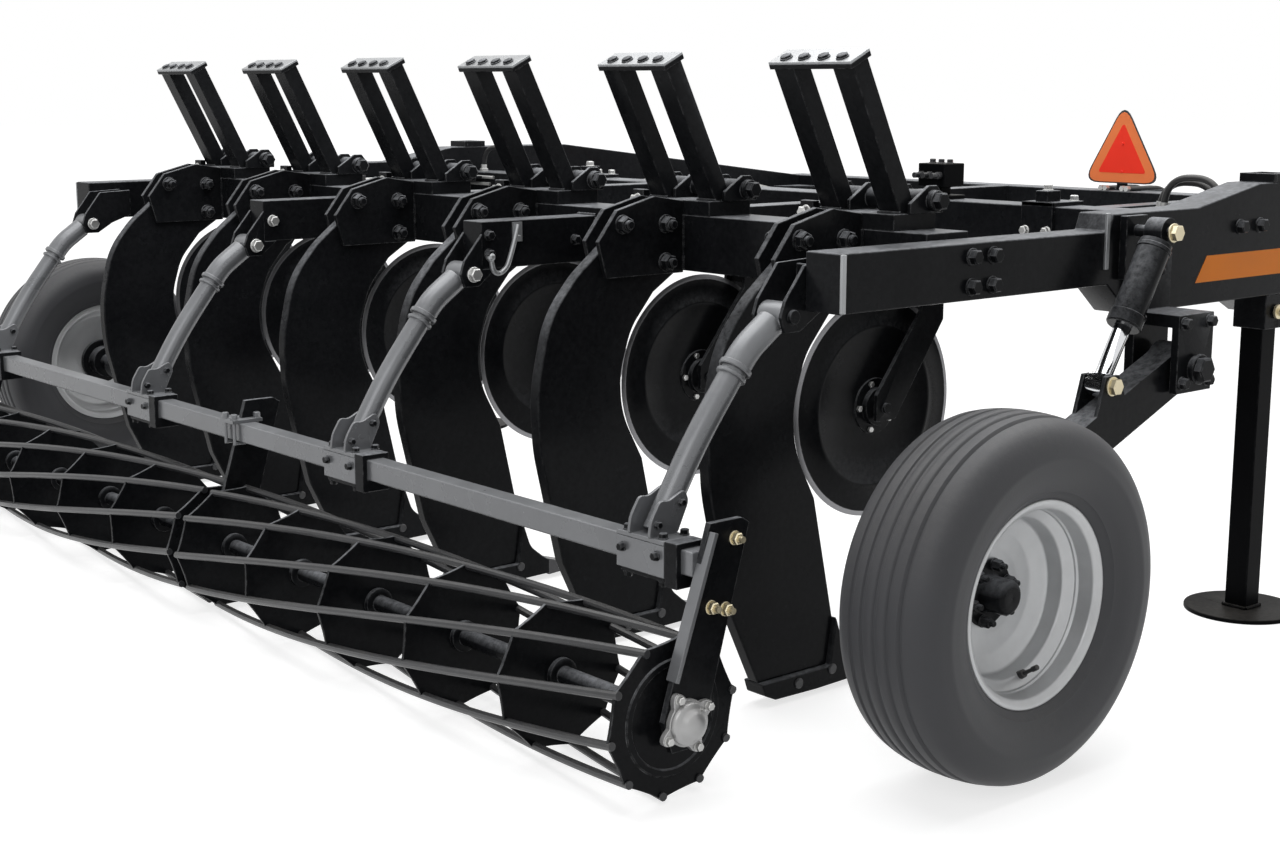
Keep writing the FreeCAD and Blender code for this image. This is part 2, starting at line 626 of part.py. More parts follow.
def cylinder_pair(side, sign):
    """Barrel hung from its anchor and rod with an eye round the arm's pin."""
    top, low, down = cylinder_line()
    shift = FreeCAD.Vector(0, sign * size("arm_offset"), 0)
    top, low = top + shift, low + shift
    bore = size("cylinder_pin") + size("running_gap")
    boss, hole = eye(top, 24, size("eye_radius") + 6, bore)
    skin = Part.makeCylinder(size("barrel_radius"), size("barrel_length") - 30, top + down * 30, down)
    well = Part.makeCylinder(size("rod_radius") + size("running_gap"), size("barrel_length") - 60,
                             top + down * 60, down)
    node(f"lift_barrel_{side}", raw(f"barrel_{side}", skin.fuse(boss).cut(hole).cut(well)))
    boss, hole = eye(low, 22, size("eye_radius"), size("cylinder_pin") + size("eye_slack"))
    inside = top + down * (size("barrel_length") - 56)
    shaft = Part.makeCylinder(size("rod_radius"), (low - inside).Length, inside, down)
    node(f"lift_rod_{side}", raw(f"rod_{side}", shaft.fuse(boss).cut(hole)))


for side, sign in SIDES:
    wheel_bracket(side, sign)
    wheel_arm(side, sign)
    wheel_hub(side, sign)
    rim(side, sign)
    tyre(side, sign)
    cylinder_pair(side, sign)


# ----------------------------------------------------------------------------
# Parking stands through the side beams
# ----------------------------------------------------------------------------
def stand_sleeve(side, sign):
    """A square socket welded under the side beam."""
    middle = f"{sign} * side_offset"
    inner = "(stand_size / 2 + stand_clear)"
    outer = f"({inner} + sleeve_wall)"
    block, hole = [
        box(f"sleeve_{word}_{side}", (f"mid_station - {reach}", f"mid_station + {reach}"),
            (f"{middle} - {reach}", f"{middle} + {reach}"), heights)
        for word, reach, heights in (("block", outer, ("sleeve_base", "deep_base")),
                                     ("hole", inner, ("sleeve_base - 20", "deep_base + 20")))]
    return cut(f"sleeve_{side}", block, hole)


def stand(side, sign):
    """A square leg on a round foot."""
    middle = f"{sign} * side_offset"
    half = "stand_size / 2"
    return node(f"stand_{side}", fuse(f"stand_set_{side}", [
        post(f"foot_{side}", "foot_radius", "mid_station", middle, ("0", "foot_thick")),
        box(f"stand_leg_{side}", (f"mid_station - {half}", f"mid_station + {half}"),
            (f"{middle} - {half}", f"{middle} + {half}"), ("foot_thick", "stand_top"))]))


node("stand_sleeves", group("sleeve_pair", [stand_sleeve(side, sign) for side, sign in SIDES]))
for side, sign in SIDES:
    stand(side, sign)


# ----------------------------------------------------------------------------
# Rolling baskets: pivot lugs, bent arms, beam, hangers, bearings and rotors
# ----------------------------------------------------------------------------
BASKET_AXIS = ("basket_radius", "basket_radius + basket_lift")
EAR = 40                                             # from an arm's middle to its ears
ARM_OUT = f"(side_offset - side_width / 2 - {EAR + 4.5})"
ARM_LINES = ((ARM_OUT, True), ("inner_offset", False), ("-inner_offset", False), (f"-{ARM_OUT}", True))


def basket_lugs(number, across, beside):
    """Two ears and the arm's pivot pin: behind a rail's end, or on a side beam's inner face."""
    tail = [("float_station - 22", "float_height + 34"), ("float_station - 34", "float_height"),
            ("float_station - 22", "float_height - 32"), ("float_station + 22", "float_height - 32")]
    if beside:
        corners = [("rail_rear + 40", "rail_base - 10"), ("rail_rear + 110", "rail_base + 15"),
                   ("rail_rear + 110", "rail_base + 100"), ("rail_rear", "rail_base + 95")] + tail
    else:
        corners = [("rail_rear + 40", "rail_base"), ("rail_rear", "rail_base"),
                   ("rail_rear", "rail_base + 90")] + tail
    pieces = [plate(f"lug_{number}_{word}", corners, "9", f"{across} + {sign} * {EAR}")
              for word, sign in SIDES]
    if beside:
        pieces.append(box(f"lug_tie_{number}", ("rail_rear + 55", "rail_rear + 67"),
                          (f"{across} - {EAR}", f"{across} + {EAR}"),
                          ("rail_base + 15", "rail_base + 90")))
    pieces.append(pin(f"lug_pin_{number}", "float_pin", (f"{across} - 52", f"{across} + 44.5"),
                      "float_station", "float_height"))
    return fuse(f"lug_set_{number}", pieces)


def basket_arm(across):
    """A tube bent twice: a stouter upper length and two slimmer lower ones."""
    top = (real_x(size("float_station")), across, size("float_height"))
    bend = (real_x(size("elbow_station")), across, size("elbow_height"))
    knee = (real_x(size("knee_station")), across, size("knee_height"))
    low = (real_x(size("beam_station")), across, size("beam_base") + size("beam_size"))
    boss, hole = eye(FreeCAD.Vector(*top), 33, 30, size("float_pin") + size("running_gap"))
    shape = boss.fuse([rod(top, bend, size("arm_tube")), rod(bend, knee, size("arm_tube_low")),
                       rod(knee, low, size("arm_tube_low"))])
    shape = shape.fuse([Part.makeSphere(size("arm_tube"), FreeCAD.Vector(*bend)),
                        Part.makeSphere(size("arm_tube_low"), FreeCAD.Vector(*knee))])
    floor = Part.makeBox(1000, 400, 400, FreeCAD.Vector(low[0] - 500, across - 200, low[2] - 400))
    return shape.cut(hole).cut(floor)


def leaning_strap(name, across):
    """A plate strap that leans forward from the basket's bearing to above the beam."""
    half, top = "strap_width / 2", "basket_radius + strap_lean"
    corners = [(f"basket_radius - {half}", "basket_radius + 10"),
               (f"basket_radius - {half} * 0.6", "basket_radius - 56"),
               (f"basket_radius + {half} * 0.6", "basket_radius - 56"),
               (f"basket_radius + {half} + 6", "basket_radius - 6"),
               (f"{top} + {half}", "strap_top - 12"), (f"{top} + {half} - 20", "strap_top"),
               (f"{top} - {half}", "strap_top")]
    solid = plate(name, corners, "hanger_plate", across)
    bore = pin(f"{name}_bore", "basket_shaft + running_gap", (f"{across} - 30", f"{across} + 30"),
               *BASKET_AXIS)
    return cut(f"{name}_bored", solid, bore)


def centre_hanger():
    """The middle strap between the two baskets, notched for the beam."""
    notch = box("strap_notch", ("beam_station - beam_size / 2", "beam_station + beam_size / 2"),
                ("-20", "20"), ("beam_base", "beam_base + beam_size"))
    return cut("centre_strap_notched", leaning_strap("centre_strap", "0"), notch)


def basket_rotor(sign):
    """Round bars wound round plate discs in straight lengths from disc to disc."""
    axis = FreeCAD.Vector(real_x(size("basket_radius")), 0,
                          size("basket_radius") + size("basket_lift"))
    spans, bars = int(size("basket_spans")), int(size("basket_bars"))
    inner, outer = size("basket_inner"), size("basket_outer") - size("disc_plate")
    ring = size("basket_radius") - size("bar_radius") - 1

    def spot(bar, step, beyond):
        twist = sign * math.radians(size("basket_twist")) * step / spans
        turn = 2 * math.pi * bar / bars + twist
        across = inner + size("disc_plate") / 2 + (outer - inner) * step / spans + beyond
        return axis + FreeCAD.Vector(ring * math.cos(turn), sign * across, ring * math.sin(turn))

    along = FreeCAD.Vector(0, sign, 0)
    shaft_start = size("hanger_plate") / 2 - 5
    shaft_end = size("beam_half") + size("hanger_plate")
    shape = Part.makeCylinder(size("basket_shaft"), shaft_end - shaft_start,
                              axis + along * shaft_start, along)
    pieces = []
    for step in range(spans + 1):
        across = inner + (outer - inner) * step / spans
        pieces.append(Part.makeCylinder(size("basket_radius"), size("disc_plate"),
                                        axis + along * across, along))
    bite = size("disc_plate") / 8
    for bar in range(bars):
        for step in range(spans):
            pieces.append(rod(spot(bar, step, bite), spot(bar, step + 1, -bite),
                              size("bar_radius")))
    return shape.fuse(pieces)


def bearing(sign):
    """A flanged bearing on the outer face of an end hanger."""
    word = "left" if sign > 0 else "right"
    face = "(beam_half + hanger_plate)"
    middle = "basket_radius + basket_lift"
    pieces = [box(f"flange_{word}", ("basket_radius - flange_half", "basket_radius + flange_half"),
                  sided(sign, face, f"{face} + 12"),
                  (f"{middle} - flange_half", f"{middle} + flange_half")),
              pin(f"bearing_nose_{word}", "flange_half * 0.68", sided(sign, face, f"{face} + 34"),
                  *BASKET_AXIS)]
    return fuse(f"bearing_{word}", pieces)


node("basket_lugs", group("lug_row", [basket_lugs(number, line, beside) for number, (line, beside)
                                      in enumerate(ARM_LINES, start=1)]))
OUT_ARM = size("side_offset") - size("side_width") / 2 - EAR - 4.5
node("basket_arms", raw("arm_row", Part.makeCompound(
    [basket_arm(sign * out) for out in (OUT_ARM, size("inner_offset")) for sign in (1, -1)])))
node("basket_beam", box("beam_box", ("beam_station - beam_size / 2", "beam_station + beam_size / 2"),
                        ("-beam_half", "beam_half"), ("beam_base", "beam_base + beam_size")))
node("basket_hangers", group("hanger_row", [
    leaning_strap("end_strap_left", "(beam_half + hanger_plate / 2)"), centre_hanger(),
    leaning_strap("end_strap_right", "(-beam_half - hanger_plate / 2)")]))
node("basket_bearings", group("bearing_pair", [bearing(1), bearing(-1)]))
for side, sign in SIDES:
    node(f"basket_{side}", raw(f"rotor_{side}", basket_rotor(sign)))


# ----------------------------------------------------------------------------
# Warning sign over the front tube, facing rearward
# ----------------------------------------------------------------------------
def warning_sign():
    """A triangle with clipped corners, standing across the machine."""
    body = doc.addObject("PartDesign::Body", "sign_plate")
    half, clip = "sign_side / 2", "sign_side * 0.09"
    step = f"{clip} * 0.87"
    corners = [(clip, "0"), (f"sign_side - {clip}", "0"), (f"sign_side - {clip} / 2", step),
               (f"{half} + {clip} / 2", f"sign_height - {step}"),
               (f"{half} - {clip} / 2", f"sign_height - {step}"), (f"{clip} / 2", step)]
    sketch = outline(body, "sign_outline", "YZ_Plane", corners)
    pad = body.newObject("PartDesign::Pad", "sign_pad")
    pad.Profile = sketch
    bind(pad, "Length", "sign_thick")
    place(body, "front_station - sign_thick", f"-{half}", "sign_base")
    return body


node("warning_sign", warning_sign())
node("sign_bracket", fuse("sign_bracket_set", [
    box("sign_post", ("front_station", "front_station + 6"), ("-25", "25"),
        ("front_top", "sign_base + 180")),
    box("sign_foot", ("front_station", "front_station + 50"), ("-60", "60"),
        ("front_top", "front_top + 6"))]))


# ----------------------------------------------------------------------------
# Checks and output
# ----------------------------------------------------------------------------
doc.recompute()
for item in doc.Objects:
    if any(word in ("Invalid", "Error") for word in item.State):
        raise RuntimeError(f"{item.Name} failed to build: {item.State}")
for name, item in NODES.items():
    if item.Shape.isNull() or not item.Shape.isValid() or not item.Shape.Solids:
        raise RuntimeError(f"{name} has no valid solid")

os.makedirs("parts", exist_ok=True)
for name, item in NODES.items():
    item.Shape.exportStep(f"parts/{name}.step")
print(f"{len(NODES)} sub-parts, {sum(len(i.Shape.Solids) for i in NODES.values())} solids")
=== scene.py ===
# %% [markdown]
# # In-line subsoiler: the looks
#
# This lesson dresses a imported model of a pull-type subsoiler, a heavy tillage frame with six
# curved legs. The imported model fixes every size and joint, so each new piece is placed from its
# numbers and rides on one of its bodies.

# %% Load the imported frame
import bmesh
import bpy
import math
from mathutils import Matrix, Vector
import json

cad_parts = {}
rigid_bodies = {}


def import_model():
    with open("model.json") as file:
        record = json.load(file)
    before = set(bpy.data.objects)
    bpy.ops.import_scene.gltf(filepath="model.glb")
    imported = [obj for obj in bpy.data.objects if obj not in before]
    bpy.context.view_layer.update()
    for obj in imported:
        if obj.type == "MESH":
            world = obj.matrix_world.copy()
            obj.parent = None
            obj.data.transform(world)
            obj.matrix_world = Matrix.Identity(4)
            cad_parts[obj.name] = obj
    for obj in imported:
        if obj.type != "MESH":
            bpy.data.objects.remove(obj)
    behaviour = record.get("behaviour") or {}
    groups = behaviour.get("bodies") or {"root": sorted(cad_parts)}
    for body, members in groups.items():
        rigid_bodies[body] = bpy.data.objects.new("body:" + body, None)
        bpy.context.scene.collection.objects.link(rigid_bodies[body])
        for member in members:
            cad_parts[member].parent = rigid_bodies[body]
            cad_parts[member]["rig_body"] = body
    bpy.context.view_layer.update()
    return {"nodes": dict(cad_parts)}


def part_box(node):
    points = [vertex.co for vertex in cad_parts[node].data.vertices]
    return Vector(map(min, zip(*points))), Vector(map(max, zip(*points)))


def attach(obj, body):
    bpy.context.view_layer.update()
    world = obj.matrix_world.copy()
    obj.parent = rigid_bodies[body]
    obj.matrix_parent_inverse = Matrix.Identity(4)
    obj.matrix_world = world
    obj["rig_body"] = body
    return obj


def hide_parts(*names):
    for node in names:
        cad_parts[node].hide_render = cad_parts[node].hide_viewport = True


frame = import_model()

# %% [markdown]
# ## The camera
#
# It looks from behind and to the right, a little above the wheels. A Track To constraint could
# aim it, but a direction turned into a rotation is one line and leaves nothing to evaluate later.

# %% Camera
CAMERA_PLACE = Vector((-4.825, -4.446, 1.398))
CAMERA_AIM = Vector((0.6347, 0.7510, -0.1821))
CAMERA_LENS = 52.1                      # millimetres on a 36 mm sensor
scene = bpy.context.scene


def put(name, data):
    """A new object in the scene."""
    item = bpy.data.objects.new(name, data)
    scene.collection.objects.link(item)
    return item


def facing(direction):
    """The rotation that turns a camera or a lamp to a direction."""
    return direction.to_track_quat("-Z", "Y").to_euler()


camera = put("camera", bpy.data.cameras.new("camera"))
camera.data.lens = CAMERA_LENS
camera.data.sensor_width = 36.0
camera.location = CAMERA_PLACE
camera.rotation_euler = facing(CAMERA_AIM)
scene.camera = camera
scene.view_settings.view_transform = "Standard"
print("camera looks along", tuple(round(v, 3) for v in CAMERA_AIM))

# %% [markdown]
# ## Wiring materials
#
# A finish is a small network of nodes. One helper adds a node and fills its inputs, one opens a
# node group with named sockets, and the rest are steps that come back in many networks.

# %% Helpers for nodes


def fill(tree, item, values):
    """Give each input a number, a node (its first output) or a pair (node, output)."""
    for key, value in values.items():
        if isinstance(value, bpy.types.Node):
            value = (value, 0)
        if isinstance(value, tuple) and isinstance(value[0], bpy.types.Node):
            tree.links.new(value[0].outputs[value[1]], item.inputs[key])
        else:
            item.inputs[key].default_value = value


def add_node(tree, kind, values=None, **settings):
    """A node of this kind; values go to sockets, settings to the node itself."""
    item = tree.nodes.new("ShaderNode" + kind)
    for key, value in settings.items():
        setattr(item, key, value)
    fill(tree, item, values or {})
    return item


def times(tree, first, second, **settings):
    return add_node(tree, "Math", {0: first, 1: second}, operation="MULTIPLY", **settings)


def remap(tree, source, from_min, from_max, to_min=0.0, to_max=1.0):
    return add_node(tree, "MapRange", {"Value": source, "From Min": from_min,
                    "From Max": from_max, "To Min": to_min, "To Max": to_max})


def noise(tree, scale, detail, roughness):
    """Noise in the piece's own coordinates, so that it moves with the piece."""
    spot = add_node(tree, "TexCoord")
    return add_node(tree, "TexNoise", {"Vector": (spot, "Object"), "Scale": scale,
                    "Detail": detail, "Roughness": roughness})


def bare_tree(holder):
    """The emptied node tree of a material or a world."""
    holder.use_nodes = True
    holder.node_tree.nodes.clear()
    return holder.node_tree


def open_group(name, inputs, outputs):
    """An empty group, its input node and its output node; a tuple makes a colour socket."""
    tree = bpy.data.node_groups.new(name, "ShaderNodeTree")
    for way, sockets in (("INPUT", inputs), ("OUTPUT", outputs)):
        for key, value in sockets.items():
            kind = "NodeSocketColor" if isinstance(value, tuple) else "NodeSocketFloat"
            tree.interface.new_socket(key, in_out=way, socket_type=kind).default_value = value
    return tree, tree.nodes.new("NodeGroupInput"), tree.nodes.new("NodeGroupOutput")


# %% [markdown]
# ## Worn and lit edges
#
# Paint rubs off first where two faces meet, and the same pale edge colour also stands in as a
# painted highlight where edges catch the light. The Bevel node rounds the normal near an edge, so
# the angle between it and the true normal is large only there. Pointiness would do the same, but
# needs a dense mesh, and these plates have few large faces.

# %% Group: edge mask
edge_group, ends_in, ends_out = open_group(
    "Edge wear and highlight", {"Radius": 0.004, "Break-up": 40.0, "Amount": 0.5}, {"Mask": 0.0})
soft_normal = add_node(edge_group, "Bevel", {"Radius": (ends_in, "Radius")}, samples=4)
true_normal = add_node(edge_group, "NewGeometry")
alike = add_node(edge_group, "VectorMath", {0: soft_normal, 1: (true_normal, "Normal")},
                 operation="DOT_PRODUCT")
turned_away = remap(edge_group, (alike, "Value"), 0.995, 0.86)
patchy_break_up = remap(edge_group, noise(edge_group, (ends_in, "Break-up"), 5.0, 0.65), 0.42, 0.62)
# Pale edge mark: worn paint, and on black paint a painted highlight.
worn_and_lit = times(edge_group, turned_away, patchy_break_up)
fill(edge_group, ends_out,
     {"Mask": times(edge_group, worn_and_lit, (ends_in, "Amount"), use_clamp=True)})
print("group:", edge_group.name)

# %% [markdown]
# ## Dust and top sheen
#
# A machine that stands outdoors gathers a thin film of dust on faces that look up. On the black
# paint the pale film is mostly a painted sheen of the sky on top faces. The normal's upright part
# finds them, and two sizes of noise break the film so that it doesn't read as a second coat of
# paint.

# %% Group: dust film and painted top sheen
dust_and_sheen_group, ends_in, ends_out = open_group(
    "Dust film and top sheen", {"Colour": (0.1, 0.1, 0.1, 1.0), "Dust and sheen": (0.35, 0.32, 0.28, 1.0), "Amount": 0.3},
    {"Colour": (0.0, 0.0, 0.0, 1.0), "Mask": 0.0})
normal = add_node(dust_and_sheen_group, "SeparateXYZ", {0: (add_node(dust_and_sheen_group, "NewGeometry"), "Normal")})
upward = remap(dust_and_sheen_group, (normal, "Z"), 0.1, 0.95, 0.04, 1.0)
patches = times(dust_and_sheen_group, noise(dust_and_sheen_group, 3.5, 6.0, 0.6), noise(dust_and_sheen_group, 70.0, 4.0, 0.7))
# Pale film on upward faces: dust, and on black paint a painted sheen of the sky.
film = times(dust_and_sheen_group, upward, remap(dust_and_sheen_group, patches, 0.08, 0.36))
amount = times(dust_and_sheen_group, film, (ends_in, "Amount"), use_clamp=True)
MIX_A, MIX_B, MIX_RESULT = 6, 7, 2      # the Mix node's colour sockets
dusted_and_sheened = add_node(dust_and_sheen_group, "Mix", {"Factor": amount, MIX_A: (ends_in, "Colour"),
                 MIX_B: (ends_in, "Dust and sheen")}, data_type="RGBA")
fill(dust_and_sheen_group, ends_out, {"Colour": (dusted_and_sheened, MIX_RESULT), "Mask": amount})
print("group:", dust_and_sheen_group.name)

# %% [markdown]
# ## Grain
#
# No finish is perfectly even: sprayed paint has an orange peel, rubber a moulded tooth, cast iron
# is coarse. One group gives a height for the Bump node and a slow drift that varies colour and
# gloss a little.

# %% Group: grain and drift
grain_group, ends_in, ends_out = open_group(
    "Grain", {"Scale": 300.0, "Low": 0.3, "High": 0.4},
    {"Height": 0.0, "Gloss": 0.0, "Drift": 0.0})
slow = noise(grain_group, 4.0, 5.0, 0.6)
fill(grain_group, ends_out, {
    "Height": noise(grain_group, (ends_in, "Scale"), 3.0, 0.55),
    "Gloss": remap(grain_group, slow, 0.3, 0.7, (ends_in, "Low"), (ends_in, "High")),
    "Drift": slow})
print("group:", grain_group.name)

# %% [markdown]
# ## The finishes
#
# Nearly everything is sprayed black. The rest is bare or plated steel, wheel paint, rubber and
# the sign's film. One recipe serves them all: a base colour that drifts, worn edges that are
# partly a painted edge highlight, a dust film that is partly a painted sheen on top faces, a gloss
# that varies, a fine bump. Numbers that don't vary over a surface go straight to the shader's own
# sockets.

# %% Recipe for a finish
FINISHES = {}


def finish(name, slot, colour, edge_highlight_and_wear_colour=(0.30, 0.30, 0.31), gloss=(0.28, 0.38), metal=0.0,
           grain=300.0, bump=0.05, depth=0.0006, edge_highlight_and_wear=0.0, edge_highlight_and_wear_radius=0.004, dust_and_sheen=0.12,
           drift=0.15, level=0.5, coat=0.0, dust_and_sheen_colour=(0.35, 0.33, 0.30)):
    """One material and the record's slot that it belongs to."""
    material = bpy.data.materials.new(name)
    tree = bare_tree(material)
    texture = add_node(tree, "Group", {"Scale": grain, "Low": gloss[0], "High": gloss[1]},
                       node_tree=grain_group)
    tone = remap(tree, (texture, "Drift"), 0.3, 0.7, 1.0 - drift, 1.0 + drift)
    tinted = add_node(tree, "VectorMath", {0: colour, "Scale": tone}, operation="SCALE")
    # Edge colour: real wear, and on black paint a painted highlight on edges.
    edges = add_node(tree, "Group", {"Radius": edge_highlight_and_wear_radius, "Break-up": 45.0, "Amount": edge_highlight_and_wear},
                     node_tree=edge_group)
    worn_and_lit_edges = add_node(tree, "Mix", {"Factor": edges, MIX_A: tinted, MIX_B: (*edge_highlight_and_wear_colour, 1.0)},
                      data_type="RGBA")
    # Dust film, and on black paint a painted sheen on top faces.
    film = add_node(tree, "Group", {"Colour": (worn_and_lit_edges, MIX_RESULT), "Dust and sheen": (*dust_and_sheen_colour, 1.0),
                    "Amount": dust_and_sheen}, node_tree=dust_and_sheen_group)
    rough = add_node(tree, "Math", {0: (film, "Mask"), 1: 0.4, 2: (texture, "Gloss")},
                     operation="MULTIPLY_ADD", use_clamp=True)
    relief = add_node(tree, "Bump", {"Strength": bump, "Distance": depth,
                      "Height": (texture, "Height")})
    shade = add_node(tree, "BsdfPrincipled", {
        "Base Color": film, "Metallic": metal, "Roughness": rough, "Normal": relief,
        "Specular IOR Level": level, "Coat Weight": coat, "Coat Roughness": 0.12})
    add_node(tree, "OutputMaterial", {"Surface": shade})
    FINISHES[name] = (material, slot)


# %% The palette
# On the black paint the pale edge colour is a painted highlight on edges that catch light, and the
# grey-blue film is a painted sheen on top faces.
finish("black_gloss", "black_paint", (0.0042, 0.0046, 0.0056), gloss=(0.20, 0.30), edge_highlight_and_wear=0.55,
       edge_highlight_and_wear_colour=(0.30, 0.305, 0.315), depth=0.0004, level=0.055, coat=0.02, dust_and_sheen=0.75,
       dust_and_sheen_colour=(0.33, 0.34, 0.36))
finish("worn_black", "black_paint", (0.030, 0.031, 0.034), gloss=(0.26, 0.40), edge_highlight_and_wear=0.30,
       bump=0.12, depth=0.0005, level=0.45)
finish("dark_black", "black_paint", (0.0016, 0.0018, 0.0024), gloss=(0.34, 0.46), edge_highlight_and_wear=0.25,
       edge_highlight_and_wear_colour=(0.16, 0.16, 0.17), bump=0.08, depth=0.0004, level=0.03, dust_and_sheen=0.10)
finish("dark_steel", "black_paint", (0.055, 0.055, 0.058), gloss=(0.24, 0.40), edge_highlight_and_wear=0.40,
       metal=0.7, bump=0.20, depth=0.0004, grain=90.0, dust_and_sheen=0.15)
finish("grey_gloss", "grey_paint", (0.185, 0.190, 0.200), gloss=(0.22, 0.32), edge_highlight_and_wear=0.25,
       metal=0.25, edge_highlight_and_wear_colour=(0.40, 0.40, 0.41), bump=0.08, dust_and_sheen=0.25, dust_and_sheen_colour=(0.36, 0.37, 0.38))
finish("bare_steel", "disc_steel", (0.24, 0.24, 0.25), gloss=(0.26, 0.42), metal=0.9,
       bump=0.15, depth=0.0003, grain=120.0)
finish("silver_paint", "rim_silver", (0.62, 0.63, 0.64), gloss=(0.3, 0.4), edge_highlight_and_wear=0.15,
       metal=0.35, grain=900.0, bump=0.06)
finish("chrome", "rod_chrome", (0.72, 0.73, 0.75), gloss=(0.06, 0.12), metal=1.0, bump=0.02,
       dust_and_sheen=0.04, drift=0.03)
finish("pale_plate", "bearing_zinc", (0.36, 0.37, 0.38), gloss=(0.32, 0.46), metal=0.55,
       grain=160.0, bump=0.10)
finish("cast_zinc", "bearing_zinc", (0.42, 0.42, 0.42), gloss=(0.34, 0.52), metal=0.6,
       grain=90.0, bump=0.35, depth=0.0008, dust_and_sheen=0.15)
finish("zinc_plate", "bearing_zinc", (0.56, 0.56, 0.55), gloss=(0.30, 0.45), metal=0.75,
       grain=140.0, bump=0.12)
finish("yellow_zinc", "bearing_zinc", (0.62, 0.55, 0.38), gloss=(0.28, 0.42), metal=0.8,
       grain=160.0, bump=0.08, dust_and_sheen=0.10)
finish("blank_plate", "bearing_zinc", (0.60, 0.56, 0.47), gloss=(0.35, 0.45), edge_highlight_and_wear=0.10,
       grain=500.0, bump=0.04, dust_and_sheen=0.15)
finish("rubber", "tyre", (0.046, 0.047, 0.052), gloss=(0.50, 0.62), edge_highlight_and_wear=0.10, edge_highlight_and_wear_radius=0.006,
       edge_highlight_and_wear_colour=(0.10, 0.10, 0.105), grain=260.0, bump=0.30, depth=0.0008, dust_and_sheen=0.10, level=0.42)
finish("hose_rubber", "tyre", (0.012, 0.012, 0.013), gloss=(0.42, 0.55), grain=400.0, bump=0.2,
       dust_and_sheen=0.25)
finish("sign_centre", "sign_orange", (0.92, 0.030, 0.008), gloss=(0.35, 0.42), grain=500.0,
       bump=0.04, dust_and_sheen=0.06, drift=0.04)
finish("sign_border", "sign_orange", (0.86, 0.21, 0.06), gloss=(0.34, 0.42), grain=900.0,
       bump=0.25, depth=0.0003, dust_and_sheen=0.05, drift=0.04)
finish("orange_stripe", "sign_orange", (0.92, 0.25, 0.012), gloss=(0.42, 0.50), edge_highlight_and_wear=0.10,
       grain=400.0, dust_and_sheen=0.03, drift=0.05, level=0.25)
print("finishes:", ", ".join(sorted(FINISHES)))

# %% [markdown]
# ## Floor, backdrop and light
#
# The stage is a pale disc and a pale sky. Light Path tells both when they are seen, straight or
# in a reflection: then the sky is plain white and the floor close to it. Everything else meets a
# calmer level, so black paint stays black. A part of the floor's white is lit, which keeps the
# machine's shadow. Further out the floor fades to the sky's white, which hides the horizon.

# %% Floor
FLOOR_OWN = 0.72                        # part of the near floor's white that isn't lit
FADE_START, FADE_END = 4.0, 11.0        # metres from the middle of the floor
FLOOR_RADIUS = 60.0
WHITE = (1.0, 1.0, 1.0, 1.0)


def seen_directly(tree):
    """1 for rays from the camera, a mirror or glass, else 0."""
    path = add_node(tree, "LightPath")
    first = add_node(tree, "Math", {0: (path, "Is Camera Ray"), 1: (path, "Is Glossy Ray")},
                     operation="MAXIMUM")
    return add_node(tree, "Math", {0: first, 1: (path, "Is Transmission Ray")},
                    operation="MAXIMUM")


floor_material = bpy.data.materials.new("pale_floor")
tree = bare_tree(floor_material)
away = add_node(tree, "VectorMath", {0: (add_node(tree, "NewGeometry"), "Position")},
                operation="LENGTH")
white = remap(tree, (away, "Value"), FADE_START, FADE_END, FLOOR_OWN, 1.0)
pale = add_node(tree, "BsdfDiffuse", {"Color": (0.50, 0.50, 0.50, 1.0)})
glow = add_node(tree, "Emission", {"Color": WHITE,
                "Strength": times(tree, seen_directly(tree), white)})
add_node(tree, "OutputMaterial", {"Surface": add_node(tree, "AddShader", {0: pale, 1: glow})})

disc = bmesh.new()
bmesh.ops.create_circle(disc, cap_ends=True, segments=96, radius=FLOOR_RADIUS)
floor = put("floor", bpy.data.meshes.new("floor"))
disc.to_mesh(floor.data)
disc.free()
floor.data.materials.append(floor_material)
print("floor radius:", FLOOR_RADIUS)

# %% Sky
SKY_LEVEL = 0.27                        # light that the sky gives to dull surfaces
scene.world = bpy.data.worlds.new("pale_sky")
tree = bare_tree(scene.world)
level = remap(tree, seen_directly(tree), 0.0, 1.0, SKY_LEVEL, 1.0)
sky = add_node(tree, "Background", {"Color": WHITE, "Strength": level})
add_node(tree, "OutputWorld", {"Surface": sky})
print("sky level:", SKY_LEVEL)

# %% Lamps
for name, place, target, wide, deep, watts in (
        ("roof_light", Vector((-0.3, 0.0, 5.2)), Vector((-0.3, 0.0, 0.0)), 8.0, 6.0, 440.0),
        ("rear_light", Vector((-6.5, -3.0, 3.6)), Vector((-1.0, 0.0, 0.7)), 3.5, 2.5, 60.0)):
    softbox = bpy.data.lights.new(name, "AREA")
    softbox.shape = "RECTANGLE"
    softbox.size, softbox.size_y, softbox.energy = wide, deep, watts
    lamp = put(name, softbox)
    lamp.location = place
    lamp.rotation_euler = facing(target - place)
print("lamps:", len(bpy.data.lights))

# %% [markdown]
# ## Building shapes
#
# Flame-cut plate, rolled tube, turned hubs and bent rod make up the machine, so a prism, a lathe
# and a swept tube cover most of it. Primitives with modifiers would work too, but outlines in
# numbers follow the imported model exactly. Each builder adds to the mesh on the bench, so what is
# bolted together can share one.

# %% Prisms, plates and boxes
UP = (0, 0, 1)
bench = bmesh.new()                     # the mesh in hand, which piece() takes away


